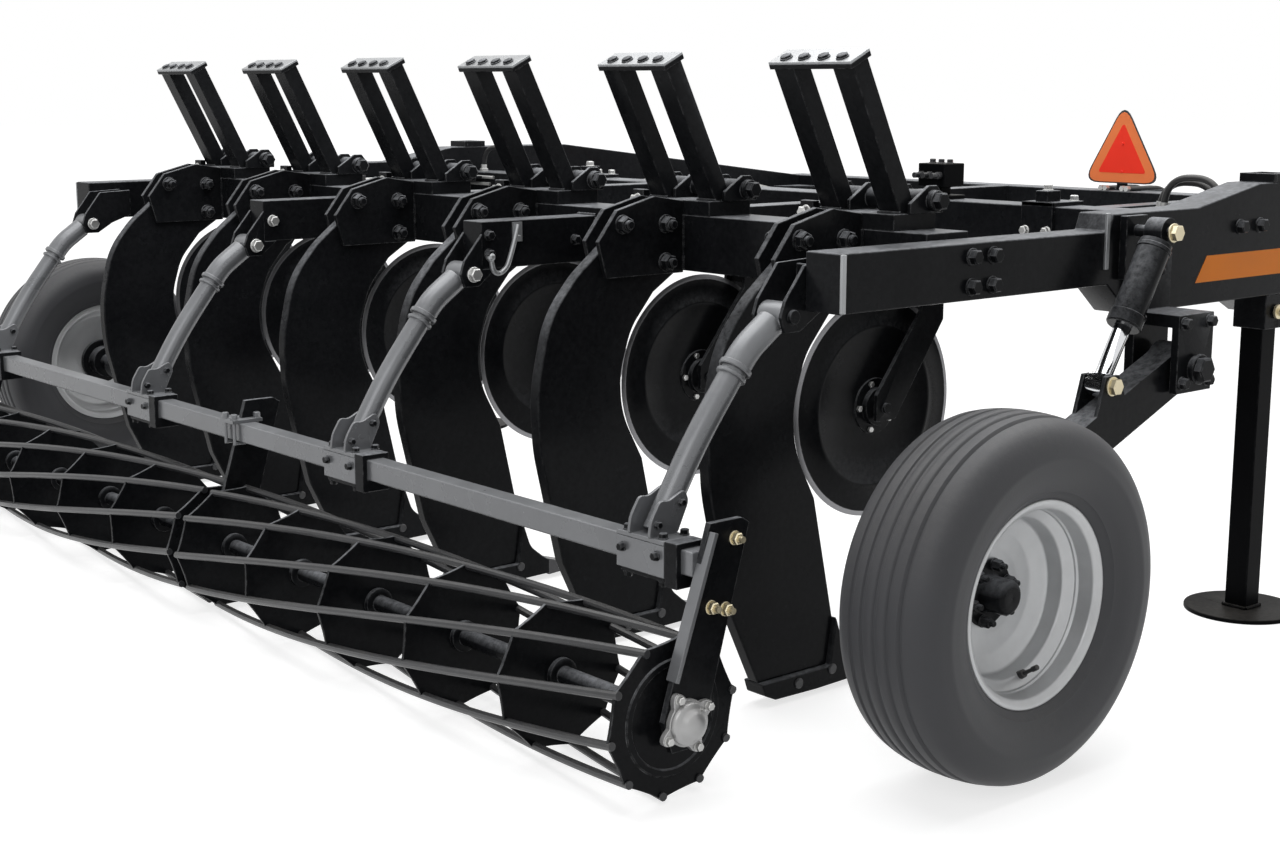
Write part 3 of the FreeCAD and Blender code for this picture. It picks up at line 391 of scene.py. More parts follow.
def add_loops(rings, closed_ring=True, closed_path=False):
    """Skin a list of equal rings of points with quads, and cap its ends."""
    rows = [[bench.verts.new(p) for p in ring] for ring in rings]
    count = len(rows[0])
    for near, far in list(zip(rows, rows[1:])) + ([(rows[-1], rows[0])] if closed_path else []):
        for k in range(count if closed_ring else count - 1):
            nxt = (k + 1) % count
            bench.faces.new((near[k], near[nxt], far[nxt], far[k]))
    if not closed_path:
        bench.faces.new(list(reversed(rows[0])))
        bench.faces.new(rows[-1])


def add_prism(outline, start, end):
    """A flat outline of 3-D points pushed from one offset to another."""
    add_loops([[Vector(p) + Vector(shift) for p in outline] for shift in (start, end)])


def add_plate(outline, near, far, base=(0, 0, 0)):
    """A plate from an outline of (x, z) points, between two distances across."""
    add_prism([Vector(base) + Vector((x, 0, z)) for x, z in outline], (0, near, 0), (0, far, 0))


def add_box(low, high):
    """A block between two corners."""
    (x0, y0, z0), (x1, y1, z1) = low, high
    add_prism([(x0, y0, 0), (x1, y0, 0), (x1, y1, 0), (x0, y1, 0)], (0, 0, z0), (0, 0, z1))


# %% Turned parts
TAU = 2.0 * math.pi
CORE = 0.0005                           # a solid part's innermost radius


def side_axes(axis):
    """Two unit vectors across an axis."""
    axis = Vector(axis).normalized()
    helper = Vector(UP) if abs(axis.z) < 0.9 else Vector((1, 0, 0))
    first = axis.cross(helper).normalized()
    return first, axis.cross(first).normalized()


def add_lathe(profile, centre, axis, segments=48, closed=True):
    """Turn (radius, along) points about an axis through the centre."""
    centre, axis = Vector(centre), Vector(axis).normalized()
    u, v = side_axes(axis)
    rings = []
    for k in range(segments):
        out = u * math.cos(TAU * k / segments) + v * math.sin(TAU * k / segments)
        rings.append([centre + axis * along + out * radius for radius, along in profile])
    add_loops(rings, closed_ring=closed, closed_path=True)


def add_turned(profile, centre, axis, segments=24):
    """A solid turned part: the profile is closed along the axis."""
    ends = [(CORE, profile[0][1]), (CORE, profile[-1][1])]
    add_lathe([ends[0], *profile, ends[1]], centre, axis, segments, closed=False)


# %% Swept tubes


def add_tube(points, radius, sides=10, closed=False):
    """A round bar swept along points; radius is one number or one for each point."""
    points = [Vector(p) for p in points]
    count = len(points)
    rings, normal = [], None
    for k, point in enumerate(points):
        before = points[k - 1] if (k or closed) else point
        after = points[(k + 1) % count] if (k < count - 1 or closed) else point
        along = (after - before).normalized()
        if normal is None:
            normal = side_axes(along)[0]
        normal = (normal - along * normal.dot(along)).normalized()
        cross = along.cross(normal)
        r = radius if isinstance(radius, float) else radius[k]
        rings.append([point + (normal * math.cos(TAU * s / sides)
                      + cross * math.sin(TAU * s / sides)) * r for s in range(sides)])
    add_loops(rings, closed_path=closed)


# %% [markdown]
# ## From mesh to piece
#
# A sharp computer edge never catches light, while a real one always does. The Bevel modifier
# rounds the edges of plates and tubes, and hardened normals keep their faces flat. Most turned
# and swept parts are round already and skip it.


def piece(name, look, round_edges=0.0, body="frame", replaces=(), segments=2, sharp=32.0):
    """Turn what is on the bench into an object with a finish that rides on a body."""
    global bench
    bmesh.ops.recalc_face_normals(bench, faces=bench.faces)
    mesh = bpy.data.meshes.new(name)
    bench.to_mesh(mesh)
    bench.free()
    bench = bmesh.new()
    item = put(name, mesh)
    for polygon in mesh.polygons:
        polygon.use_smooth = True
    mesh.set_sharp_from_angle(angle=math.radians(sharp))
    if round_edges > 0.0:
        soften = item.modifiers.new("rounded edges", "BEVEL")
        soften.width, soften.segments = round_edges, segments
        soften.limit_method, soften.angle_limit = "ANGLE", math.radians(sharp)
        soften.harden_normals = True
        soften.miter_outer = "MITER_ARC"
    material, slot = FINISHES[look]
    mesh.materials.append(material)
    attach(item, body)
    if replaces:
        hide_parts(*replaces)


def dressed(node, round_edges=0.0025, look="black_gloss", **options):
    """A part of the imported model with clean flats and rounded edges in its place."""
    packed = frame["nodes"][node]
    bench.from_mesh(packed.data)
    bmesh.ops.remove_doubles(bench, verts=bench.verts, dist=2e-5)
    bmesh.ops.dissolve_limit(bench, angle_limit=math.radians(0.6), verts=bench.verts,
                             edges=bench.edges)
    piece(node + "_dressed", look, round_edges, packed["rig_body"], replaces=(node,), **options)


# %% [markdown]
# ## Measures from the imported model
#
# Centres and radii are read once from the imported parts' boxes, and the lines that many fittings
# share get a name of their own.

# %% Centres and rows
SIDES = (("left", 1), ("right", -1))
LEGS = range(1, 7)
BEAM_INNER, BEAM_OUTER = 1.750, 1.850   # faces of the side beams
RAIL_INNER, RAIL_OUTER = 0.520, 0.600   # faces of the inner rails
STAND_X, STAND_Y = -0.460, 1.800


def box_centre(node):
    low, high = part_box(node)
    return (low + high) / 2


def box_size(node):
    low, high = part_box(node)
    return high - low


LEG_Y = {k: box_centre(f"shank_{k}").y for k in LEGS}
DISC = {k: box_centre(f"coulter_disc_{k}") for k in LEGS}
DISC_RADIUS = box_size("coulter_disc_1").x / 2
WHEEL = {side: box_centre(f"tyre_{side}") for side, _ in SIDES}
TYRE_RADIUS = box_size("tyre_left").x / 2
BASKET_RADIUS = box_size("basket_left").x / 2
SHAFT_Z = BASKET_RADIUS + 0.003         # the basket hangs 3 mm clear of the floor
SHAFT_X = {side: box_centre(f"basket_{side}").x for side, _ in SIDES}
TOOLBAR_LOW, TOOLBAR_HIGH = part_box("toolbar")
print("leg pitch", round(LEG_Y[1] - LEG_Y[2], 3), "tyre", round(2 * TYRE_RADIUS, 3),
      "basket", round(2 * BASKET_RADIUS, 3))

# %% [markdown]
# ## Frame members
#
# The beams, cross tubes, rails and tongue are welded from plate and square tube. Their packed
# shapes are right, so each is copied with rounded edges and painted.

# %% Painted frame
WELDED = ["side_beam_left", "side_beam_right", "toolbar", "middle_tube", "front_tube",
          "inner_rail_left", "inner_rail_right", "tongue", "tongue_braces", "hitch_clevis",
          "stand_sleeves", "wheel_bracket_left", "wheel_bracket_right", "basket_lugs",
          "coulter_forks", "sign_bracket"]
for node in WELDED:
    dressed(node, 0.004 if "beam" in node or "tube" in node else 0.0025)
for side, _ in SIDES:
    dressed(f"wheel_arm_{side}", 0.003)
    dressed(f"stand_{side}", 0.003, "dark_black")

# %% [markdown]
# ## Legs
#
# Each leg is a thick flame-cut shank between two cheek plates, with a shoe at its foot. The
# chisel point gets a worn finish of its own further on.

# %% Shanks, cheeks and shoes
for k in LEGS:
    dressed(f"shank_{k}", 0.0045, segments=3)
dressed("leg_brackets", 0.002)
dressed("leg_shoes", 0.004)
print("legs:", len(LEGS))

# %% [markdown]
# ## Tyres
#
# An implement tyre is a body of revolution with straight ribs, so a lathe makes it in one go. The
# section runs from bead to bead in millimetres: five soft grooves part six broad ribs, and the
# shoulder stays smooth.

# %% Tyre section
MM = 0.001
GROOVES = (64, 32, 0, -32, -64)
TREAD_EDGE = 88
SIDEWALL = [(201, 84), (209, 86), (215, 93), (221, 99), (229, 104), (232, 108.5), (238, 110),
            (250, 117.5), (264, 123.5), (280, 127.8), (296, 129.8), (299, 130.4), (305, 130.4),
            (308, 129.6), (322, 127.5), (336, 122.5), (348, 115.5), (357, 107), (364, 98)]


def crown(across):
    """Tread radius in millimetres at a distance from the middle."""
    return 1000 * TYRE_RADIUS - 0.4 - 11.5 * abs(across / 90.0) ** 2.4


tread = [(crown(TREAD_EDGE), TREAD_EDGE)]
for middle in GROOVES:
    tread.append((crown(middle + 8), middle + 8))
    tread += [(crown(middle) - deep, middle + across) for deep, across in
              ((1.2, 5.5), (4.6, 2.8), (4.6, -2.8), (1.2, -5.5))]
    tread.append((crown(middle - 8), middle - 8))
tread.append((crown(TREAD_EDGE), -TREAD_EDGE))
TYRE_SECTION = SIDEWALL + tread + [(r, -y) for r, y in reversed(SIDEWALL)]

for side, sign in SIDES:
    add_lathe([(r * MM, y * MM) for r, y in TYRE_SECTION], WHEEL[side], (0, sign, 0), 240)
    piece(f"ribbed_tyre_{side}", "rubber", body=f"wheel_{side}",
          replaces=(f"tyre_{side}",), sharp=38)
print("tyre section points:", len(TYRE_SECTION))

# %% [markdown]
# ## Rims and hubs
#
# The rim is rolled steel: a lip, a seat for the bead, a step down to the drop centre and a disc
# deep inboard. It is turned from one closed section with rounded corners. The hub is a black
# flange with lug nuts and a dust cap.

# %% Rounded outlines and bolts


def around(centre, axis, radius, angle):
    """A point on a circle about an axis."""
    u, v = side_axes(axis)
    return Vector(centre) + (u * math.cos(angle) + v * math.sin(angle)) * radius


def arc(start, corner, end, steps):
    """Points on a smooth curve that turns a corner."""
    return [start * (1 - t) ** 2 + corner * 2 * t * (1 - t) + end * t * t
            for t in (s / steps for s in range(steps + 1))]


def rounded(points, radius, steps=4):
    """A closed flat outline of 2-D points with every corner rounded."""
    result, count = [], len(points)
    for k in range(count):
        here, before, after = (Vector(points[(k + d) % count]) for d in (0, -1, 1))
        back, ahead = before - here, after - here
        room = min(radius, 0.45 * back.length, 0.45 * ahead.length)
        result += arc(here + back.normalized() * room, here, here + ahead.normalized() * room,
                      steps)
    return result


def add_bolt(spot, axis, size, head=0.62, washer=True, turn=0.0):
    """A hex head with a chamfered crown on a round washer; size is across the flats."""
    spot, axis = Vector(spot), Vector(axis).normalized()
    rise = size * 0.12 if washer else 0.0
    if washer:
        add_lathe([(0.0001, 0), (size * 0.66, 0), (size * 0.66, rise * 0.7),
                   (size * 0.62, rise), (0.0001, rise)], spot, axis, 20, closed=False)
    corner, tall = size / math.sqrt(3.0), size * head
    add_loops([[around(spot + axis * high, axis, corner * share, turn + TAU * k / 6)
                for k in range(6)]
               for high, share in ((rise, 1.0), (rise + tall * 0.84, 1.0), (rise + tall, 0.84))])


# %% Rims
RIM_SECTION = [(214, -95), (214, -87), (200, -87), (200, -55), (174, -37), (174, 23), (200, 43),
               (200, 87), (214, 87), (214, 95), (206, 95), (192, 86), (192, 49), (188, 45),
               (188, 41), (166, 27), (166, -10), (158, -16), (130, -28), (92, -33), (51, -33),
               (51, -43), (90, -43), (134, -40), (166, -39), (192, -59), (192, -95)]
HUB_SECTION = [(0.5, 30), (24, 30), (33, 26), (37, 18), (37.5, -26), (42, -30), (60, -30),
               (70, -31), (71, -33), (71, -33.5), (50, -34), (50, -60), (80, -60), (80, -44),
               (56, -44), (55, -100), (0.5, -100)]
LUGS, LUG_RADIUS = 6, 0.059
for side, sign in SIDES:
    axis, body = Vector((0, sign, 0)), f"wheel_{side}"
    for name, look, section, radius, steps, segments, packed, sharp in (
            ("rolled_rim", "silver_paint", RIM_SECTION, 0.005, 3, 120, "rim", 50),
            ("nave", "black_gloss", HUB_SECTION, 0.0025, 2, 64, "wheel_hub", 32.0)):
        profile = rounded([(r * MM, y * MM) for r, y in section], radius, steps)
        add_lathe([(p.x, p.y) for p in profile], WHEEL[side], axis, segments)
        piece(f"{name}_{side}", look, body=body, replaces=(f"{packed}_{side}",), sharp=sharp)
    for lug in range(LUGS):
        angle = TAU * (lug + 0.25) / LUGS
        seat = around(WHEEL[side] - axis * 0.031, axis, LUG_RADIUS, angle)
        add_bolt(seat, axis, 0.021, head=0.85, turn=angle)
        add_tube([seat + axis * along for along in (0.016, 0.030, 0.032)],
                 [0.0068, 0.0068, 0.0052])
    piece(f"lug_nuts_{side}", "black_gloss", body=body)
    root = WHEEL[side] + Vector((0.036, 0, -0.163)) + axis * 0.036
    lean = (axis * 0.8 + Vector((-0.1, 0, 0.5))).normalized()
    add_tube([root + lean * along for along in (-0.012, 0.004, 0.005, 0.030, 0.031, 0.046, 0.048)],
             [0.0095, 0.0085, 0.0045, 0.004, 0.0058, 0.0058, 0.004], 12)
    piece(f"valve_{side}", "hose_rubber", body=body)
print("wheels:", len(WHEEL), "lug nuts each:", LUGS)

# %% [markdown]
# ## Coulter discs
#
# A coulter is a rolling knife: a flat blade ground to an edge, bolted to a small hub. The ground
# ring stays bare, so it is a piece of its own, and the painted blade has the shallow pressed ring
# that stiffens such discs.

# %% Coulters
HUB_BOLTS = 5
r = DISC_RADIUS
BLADE = [(0.0135, 0.0245), (0.024, 0.0245), (0.030, 0.021), (0.044, 0.020), (0.045, 0.0075),
         (0.066, 0.0065), (0.067, 0.003), (r * 0.69, 0.003), (r * 0.705, 0.0055),
         (r * 0.735, 0.0055), (r * 0.75, 0.003), (r * 0.955, 0.003)]
GROUND = [(r * 0.95, 0.0029), (r * 0.962, 0.0031), (r * 0.999, 0.0006)]
for k in LEGS:
    centre, body = DISC[k], f"coulter_{k}"
    add_lathe(BLADE + [(p, -a) for p, a in reversed(BLADE)], centre, (0, 1, 0), 96)
    piece(f"coulter_blade_{k}", "black_gloss", body=body,
          replaces=(f"coulter_disc_{k}",), sharp=40)
    add_lathe(GROUND + [(p, -a) for p, a in reversed(GROUND)], centre, (0, 1, 0), 128)
    piece(f"ground_edge_{k}", "bare_steel", body=body, sharp=60)
    for turn in range(HUB_BOLTS):
        for axis in (Vector((0, 1, 0)), Vector((0, -1, 0))):
            seat = around(centre + axis * 0.0065, axis, 0.056, TAU * turn / HUB_BOLTS)
            add_bolt(seat, axis, 0.013, head=0.6, washer=False)
    piece(f"hub_bolts_{k}", "zinc_plate", body=body)
print("coulters:", len(DISC), "radius", round(DISC_RADIUS, 3))

# %% [markdown]
# ## Reset bars
#
# Over each leg stand two square housings that lean back, tied by a bright cap plate with a row of
# four flat bolts. A cross shaft with a nut at each end carries their feet.

# %% Measures of a reset bar
LEAN = math.radians(26.0)
UP_BAR = Vector((-math.sin(LEAN), 0, math.cos(LEAN)))
ALONG_CAP = Vector((math.cos(LEAN), 0, math.sin(LEAN)))
CAP_BOLTS = (-0.086, -0.030, 0.030, 0.086)
CAP_HALF = 0.126
SHAFT_END = 0.150
LUG_REAR = -1.7215
FOOT_CHEEK = ((-0.075, -0.028), (0.034, -0.028), (0.034, 0.010), (0.014, 0.034),
              (-0.014, 0.034), (-0.075, -0.004))
print("reset bars lean", round(math.degrees(LEAN), 1), "degrees")

# %% Reset bars
for k in LEGS:
    dressed(f"reset_bars_{k}", 0.0045)
    low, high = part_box(f"reset_bars_{k}")
    y, deck = LEG_Y[k], TOOLBAR_HIGH.z
    corner = Vector((low.x, y, high.z - 0.0305))        # rear top edge of the cap
    add_prism([corner + ALONG_CAP * along + Vector((0, across, 0)) for along, across in
               ((0.001, -CAP_HALF), (0.068, -CAP_HALF), (0.068, CAP_HALF), (0.001, CAP_HALF))],
              -UP_BAR * 0.001, UP_BAR * 0.006)
    piece(f"cap_plate_{k}", "pale_plate", 0.0018)
    row = corner + ALONG_CAP * 0.022 + UP_BAR * 0.006
    for offset in CAP_BOLTS:
        add_bolt(row + Vector((0, offset, 0)), UP_BAR, 0.023, head=0.24)
    piece(f"cap_bolts_{k}", "black_gloss")
    shaft = Vector((TOOLBAR_HIGH.x - 0.022, y, deck + 0.064))
    add_turned([(0.020, -SHAFT_END), (0.024, -0.146), (0.024, 0.146), (0.020, SHAFT_END)],
               shaft, (0, 1, 0), 28)
    for way in (1, -1):
        for across in (0.058, 0.138):
            add_plate(FOOT_CHEEK, way * across, way * (across - 0.010), shaft)
    piece(f"foot_shaft_{k}", "black_gloss", 0.002)
    for way in (1, -1):
        add_bolt(shaft + Vector((0, way * SHAFT_END, 0)), (0, way, 0), 0.036, head=0.5)
    piece(f"foot_bolts_{k}", "black_gloss")
    add_box((LUG_REAR, y + 0.1275, deck + 0.0005), (LUG_REAR + 0.021, y + 0.170, deck + 0.056))
    piece(f"base_lug_{k}", "black_gloss", 0.0018)
    add_bolt((LUG_REAR, y + 0.149, deck + 0.029), (-1, 0, 0), 0.026, head=0.6)
    piece(f"lug_bolt_{k}", "zinc_plate")
    for across in (y + 0.091, y - 0.091):               # weld run round each housing's foot
        add_tube([(x, across + edge, deck + 0.0385) for x, edge in
                  ((-1.6995, -0.0325), (-1.6405, -0.0325), (-1.6405, 0.0325), (-1.6995, 0.0325))],
                 0.0045, 8, closed=True)
    piece(f"foot_welds_{k}", "black_gloss")
add_box((-1.7275, -1.412, 1.046), (-1.7252, -1.352, 1.0735))
add_box((-1.7275, -1.396, 1.0735), (-1.7252, -1.360, 1.0790))
piece("blank_plate_6", "blank_plate", 0.0006)
print("cap bolts:", len(LEGS) * len(CAP_BOLTS))

# %% [markdown]
# ## Rolling baskets
#
# Each basket is ten round bars wound in a long helix on plate discs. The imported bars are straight
# from disc to disc. Here each is one smooth helix, and the discs are scalloped between the bars,
# so that each bar is held in a lobe.

# %% Baskets
BARS, SPANS, TWIST = 10, 5, math.radians(100)
BAR_RADIUS, DISC_PLATE = 0.009, 0.008
RING = BASKET_RADIUS - BAR_RADIUS - 0.001
INNER_END, OUTER_END = 0.026, 1.830
BAR_STEPS, NOTCH_STEPS = 72, 12


def notched_disc(centre, across, first_angle):
    """A plate disc with a shallow scallop between every two bars."""
    outline = []
    for step in range(BARS * NOTCH_STEPS):
        part = step % NOTCH_STEPS
        near = min(part, NOTCH_STEPS - part) / NOTCH_STEPS
        angle = first_angle + TAU * step / NOTCH_STEPS / BARS
        radius = BASKET_RADIUS - 0.001 - 0.013 * math.sin(math.pi * near) ** 0.6
        outline.append((radius * math.cos(angle), radius * math.sin(angle)))
    add_plate(outline, across, across + DISC_PLATE, centre)


for side, sign in SIDES:
    hub_line, body = Vector((SHAFT_X[side], 0, SHAFT_Z)), f"basket_{side}"
    for bar in range(BARS):
        points = []
        for s in range(BAR_STEPS + 1):
            t = s / BAR_STEPS
            angle = TAU * bar / BARS + sign * TWIST * t
            across = INNER_END - 0.005 + (OUTER_END - INNER_END + 0.010) * t
            points.append(hub_line + Vector((RING * math.cos(angle), sign * across,
                                             RING * math.sin(angle))))
        add_tube(points, BAR_RADIUS)
    piece(f"helix_bars_{side}", "worn_black", body=body, replaces=(body,))
    starts = [INNER_END + (OUTER_END - INNER_END - DISC_PLATE) * step / SPANS
              for step in range(SPANS + 1)]
    for step, start in enumerate(starts):
        across = start if sign > 0 else -start - DISC_PLATE
        notched_disc(hub_line, across, sign * TWIST * step / SPANS)
    piece(f"notched_discs_{side}", "black_gloss", 0.0012, body)
    add_turned([(0.018, 0.004), (0.0195, 0.0055), (0.0195, 1.862), (0.018, 1.8635)], hub_line,
               (0, sign, 0), 28)
    collars = [(start + DISC_PLATE, 1) for start in starts[:-1]]
    collars += [(start, -1) for start in starts[1:]]
    for at, way in collars:                             # a collar on each disc's open face
        add_lathe([(0.019, 0), (0.036, 0), (0.0355, way * 0.011), (0.031, way * 0.013),
                   (0.019, way * 0.013)], hub_line + Vector((0, sign * at, 0)), (0, sign, 0), 32)
    for face, way in ((INNER_END, -1), (OUTER_END, 1)):  # ring pressed into the end disc
        add_lathe([(0.104, 0), (0.107, way * 0.0035), (0.119, way * 0.0035), (0.122, 0)],
                  hub_line + Vector((0, sign * face, 0)), (0, sign, 0), 64)
    piece(f"basket_shaft_{side}", "black_gloss", body=body)
print("bars:", 2 * BARS, "discs:", 2 * (SPANS + 1))

# %% [markdown]
# ## Arms, beam and hangers
#
# Four bent arms carry the basket from the frame. Each is a stout upper tube, a double collar and
# a slimmer lower tube that ends in a foot on the beam, held by straps and bolts.

# %% Bent paths and collars


def swept(corners, radius, steps=8):
    """A path of corners with each inner one turned on a smooth curve."""
    corners = [Vector(c) for c in corners]
    path = [corners[0]]
    for before, corner, after in zip(corners, corners[1:], corners[2:]):
        path += arc(corner + (before - corner).normalized() * radius, corner,
                    corner + (after - corner).normalized() * radius, steps)
    return path + [corners[-1]]


def add_collar(bore, radius, start, stop, centre, axis, segments):
    """A ring round an axis with chamfered edges."""
    edge = 0.002
    add_lathe([(bore, start), (radius - edge, start), (radius, start + edge),
               (radius, stop - edge), (radius - edge, stop), (bore, stop)], centre, axis,
              segments)


# %% Lines of an arm
ARM_Y = (1.7055, 0.56, -0.56, -1.7055)
PIVOT = Vector((-2.134, 0, 0.925))
ELBOW = Vector((-2.225, 0, 0.862))
KNEE = Vector((-2.365, 0, 0.685))
BEAM_LOW, BEAM_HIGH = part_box("basket_beam")
ARM_END = Vector(((BEAM_LOW.x + BEAM_HIGH.x) / 2, 0, BEAM_HIGH.z))
half, tall = (BEAM_HIGH.x - BEAM_LOW.x) / 2, BEAM_HIGH.z - BEAM_LOW.z
down = (KNEE - ELBOW).normalized()
collar_at = ELBOW + down * 0.012
UPPER_TUBE = swept([PIVOT + (ELBOW - PIVOT).normalized() * 0.026, ELBOW,
                    collar_at + down * 0.040], 0.030)
LOWER_TUBE = swept([collar_at, KNEE, ARM_END - (ARM_END - KNEE).normalized() * 0.012], 0.075)
GUSSET = [(p.x, p.y) for p in rounded(
    ((-0.040, 0.006), (0.034, 0.006), (0.066, 0.072), (0.054, 0.098), (0.012, 0.078),
     (-0.010, 0.082), (-0.034, 0.044)), 0.012)]
GUSSET_IN, GUSSET_OUT = 0.0272, 0.0352
CLAMP_OUTER = ((-half - 0.012, 0.012), (half + 0.012, 0.012), (half + 0.012, -tall - 0.030),
               (-half - 0.012, -tall - 0.030))
CLAMP_HOLE = ((-half, 0.0), (half, 0.0), (half, -tall), (-half, -tall))
CLAMP_NEAR, CLAMP_FAR = -0.114, -0.078  # beside the foot
print("beam:", [round(v, 3) for v in BEAM_HIGH - BEAM_LOW])

# %% Bent arms
dressed("basket_beam", 0.004, "grey_gloss", segments=3)
dressed("basket_hangers", 0.0025)
for n, y in enumerate(ARM_Y, start=1):
    out = Vector((0, y, 0))
    add_tube([p + out for p in UPPER_TUBE], 0.0315, 28)
    add_tube([p + out for p in LOWER_TUBE], GUSSET_IN, 28)
    for place, wide, thick in ((0.028, 0.0360, 0.012), (0.048, 0.0335, 0.009)):
        add_collar(0.026, wide, 0, thick, collar_at + out + down * place, down, 32)
    boss = PIVOT + out
    add_lathe([(0.0155, -0.033), (0.0285, -0.033), (0.030, -0.031), (0.030, 0.031),
               (0.0285, 0.033), (0.0155, 0.033)], boss, (0, 1, 0), 32)
    piece(f"bent_arm_{n}", "grey_gloss", body="basket_frame",
          replaces=("basket_arms",) if n == 1 else ())
    foot = ARM_END + out

    def off(x, across, z):
        """A point measured from the middle of the arm's foot."""
        return foot + Vector((x, across, z))

    for way in (1, -1):
        add_plate(GUSSET, way * GUSSET_IN, way * GUSSET_OUT, foot)
    add_box(off(-half - 0.010, -0.073, 0.0), off(half + 0.016, 0.073, 0.010))
    add_box(off(-half - 0.010, -0.073, -tall - 0.016), off(-half, 0.073, 0.0))
    piece(f"arm_foot_{n}", "grey_gloss", 0.002, "basket_frame")
    add_box(off(-half - 0.004, -0.066, -tall - 0.026), off(half + 0.020, 0.066, -tall - 0.014))
    add_loops([[off(x, across, z) for x, z in ring] for ring, across in
               ((CLAMP_OUTER, CLAMP_NEAR), (CLAMP_OUTER, CLAMP_FAR),
                (CLAMP_HOLE, CLAMP_FAR), (CLAMP_HOLE, CLAMP_NEAR))], closed_path=True)
    piece(f"beam_clamp_{n}", "black_gloss", 0.0015, "basket_frame")
    for x in (-half + 0.006, half + 0.012):
        for across in (0.054, -0.054):
            add_bolt(off(x, across, 0.010), UP, 0.016)
            add_bolt(off(x, across, -tall - 0.026), (0, 0, -1), 0.016)
    for way in (1, -1):
        for x, z in ((-0.019, 0.034), (0.043, 0.072)):
            add_bolt(off(x, way * GUSSET_OUT, z), (0, way, 0), 0.014)
        add_bolt(off(-half - 0.010, way * 0.052, -tall * 0.45), (-1, 0, 0), 0.016)
    piece(f"foot_screws_{n}", "black_gloss", body="basket_frame")
    for way, face in ((1, 0.0445), (-1, 0.052)):
        if abs(y) < 1.0 or way * y < 0:                 # the side beam hides the outer end
            add_bolt(boss + Vector((0, way * face, 0)), (0, way, 0), 0.030, head=0.45)
    piece(f"pivot_heads_{n}", "zinc_plate")
print("arms:", len(ARM_Y))

# %% Clamp in the middle of the beam
for across in (-0.024, 0.024):                          # two U bolts round the middle
    add_tube([ARM_END + Vector((x, across, z)) for x, z in
              ((-0.034, 0.006), (-0.034, -0.056), (0.034, -0.056), (0.034, 0.006))],
             0.006, closed=True)
add_box(ARM_END + Vector((-0.045, -0.036, 0.0)), ARM_END + Vector((0.045, 0.036, 0.009)))
for x in (-0.034, 0.034):
    for across in (-0.024, 0.024):
        add_bolt(ARM_END + Vector((x, across, 0.009)), UP, 0.017, head=0.8)
piece("centre_clamp", "grey_gloss", 0.0012, "basket_frame")
print("middle clamp at", [round(v, 3) for v in ARM_END])

# %% [markdown]
# ## Flanged bearings
#
# The basket turns in cast bearings with a four-lobed flange and a domed cap. The flange is an
# outline whose radius swells at each bolt, and the dome is turned. They are zinc bright and stand
# out against the black end plates.

# %% Bearings
LOBES, LOBE_STEPS, LOBE_TURN = 4, 96, math.radians(25)
FLANGE = 0.013
DOME = [(CORE, 0.0455), (0.012, 0.045), (0.021, 0.042), (0.028, 0.036), (0.0325, 0.028),
        (0.036, 0.026), (0.041, 0.024), (0.044, 0.020), (0.045, 0.0125), (CORE, 0.0125)]
STRAP_FOOT, STRAP_HEAD = Vector((-2.566, 0, 0.262)), Vector((-2.466, 0, 0.545))
along = (STRAP_HEAD - STRAP_FOOT).normalized()
STRAP_LEAN = Vector((along.z, 0, -along.x)) * 0.010
for side, sign in SIDES:
    face, out = sign * 1.864, (0, sign, 0)
    hub = Vector((SHAFT_X[side], face, SHAFT_Z))
    outline = []
    for s in range(LOBE_STEPS):
        angle = TAU * s / LOBE_STEPS
        radius = 0.048 + 0.022 * max(0.0, math.cos(LOBES * angle)) ** 1.2
        outline.append((radius * math.cos(angle + LOBE_TURN),
                        radius * math.sin(angle + LOBE_TURN)))
    add_plate(outline, 0.0, sign * FLANGE, hub)
    add_lathe(DOME, hub, out, closed=False)
    piece(f"lobed_bearing_{side}", "cast_zinc", 0.002, "basket_frame",
          replaces=("basket_bearings",) if sign > 0 else ())
    for s in range(LOBES):
        angle = LOBE_TURN + TAU * s / LOBES
        add_bolt(hub + Vector((0.058 * math.cos(angle), sign * FLANGE, 0.058 * math.sin(angle))),
                 out, 0.015, head=0.6)
    add_tube([hub + Vector((0.022, sign * across, 0.028)) for across in (0.026, 0.030, 0.038)],
             [0.004, 0.0032, 0.0022])
    piece(f"bearing_bolts_{side}", "zinc_plate", body="basket_frame")
    for x, z in ((-2.400, 0.522), (-2.462, 0.392), (-2.424, 0.382)):
        add_bolt((x, face, z), out, 0.022, head=0.6)
        add_tube([(x, face + sign * across, z) for across in (0.012, 0.026)], 0.0068, 12)
    piece(f"plate_bolts_{side}", "yellow_zinc", body="basket_frame")
    add_prism([STRAP_FOOT, STRAP_FOOT + STRAP_LEAN, STRAP_HEAD + STRAP_LEAN, STRAP_HEAD],
              (0, face - sign * 0.014, 0), (0, face + sign * 0.016, 0))
    piece(f"strap_edge_{side}", "grey_gloss", 0.0015, "basket_frame")
print("bearings at", {side: round(x, 3) for side, x in SHAFT_X.items()})

# %% [markdown]
# ## Lift cylinders
#
# The barrel carries ports and a gland nut at its mouth, and the rod is hard chromed. All of it
# lies on the line between the two packed pins, so the parts are turned about that line.

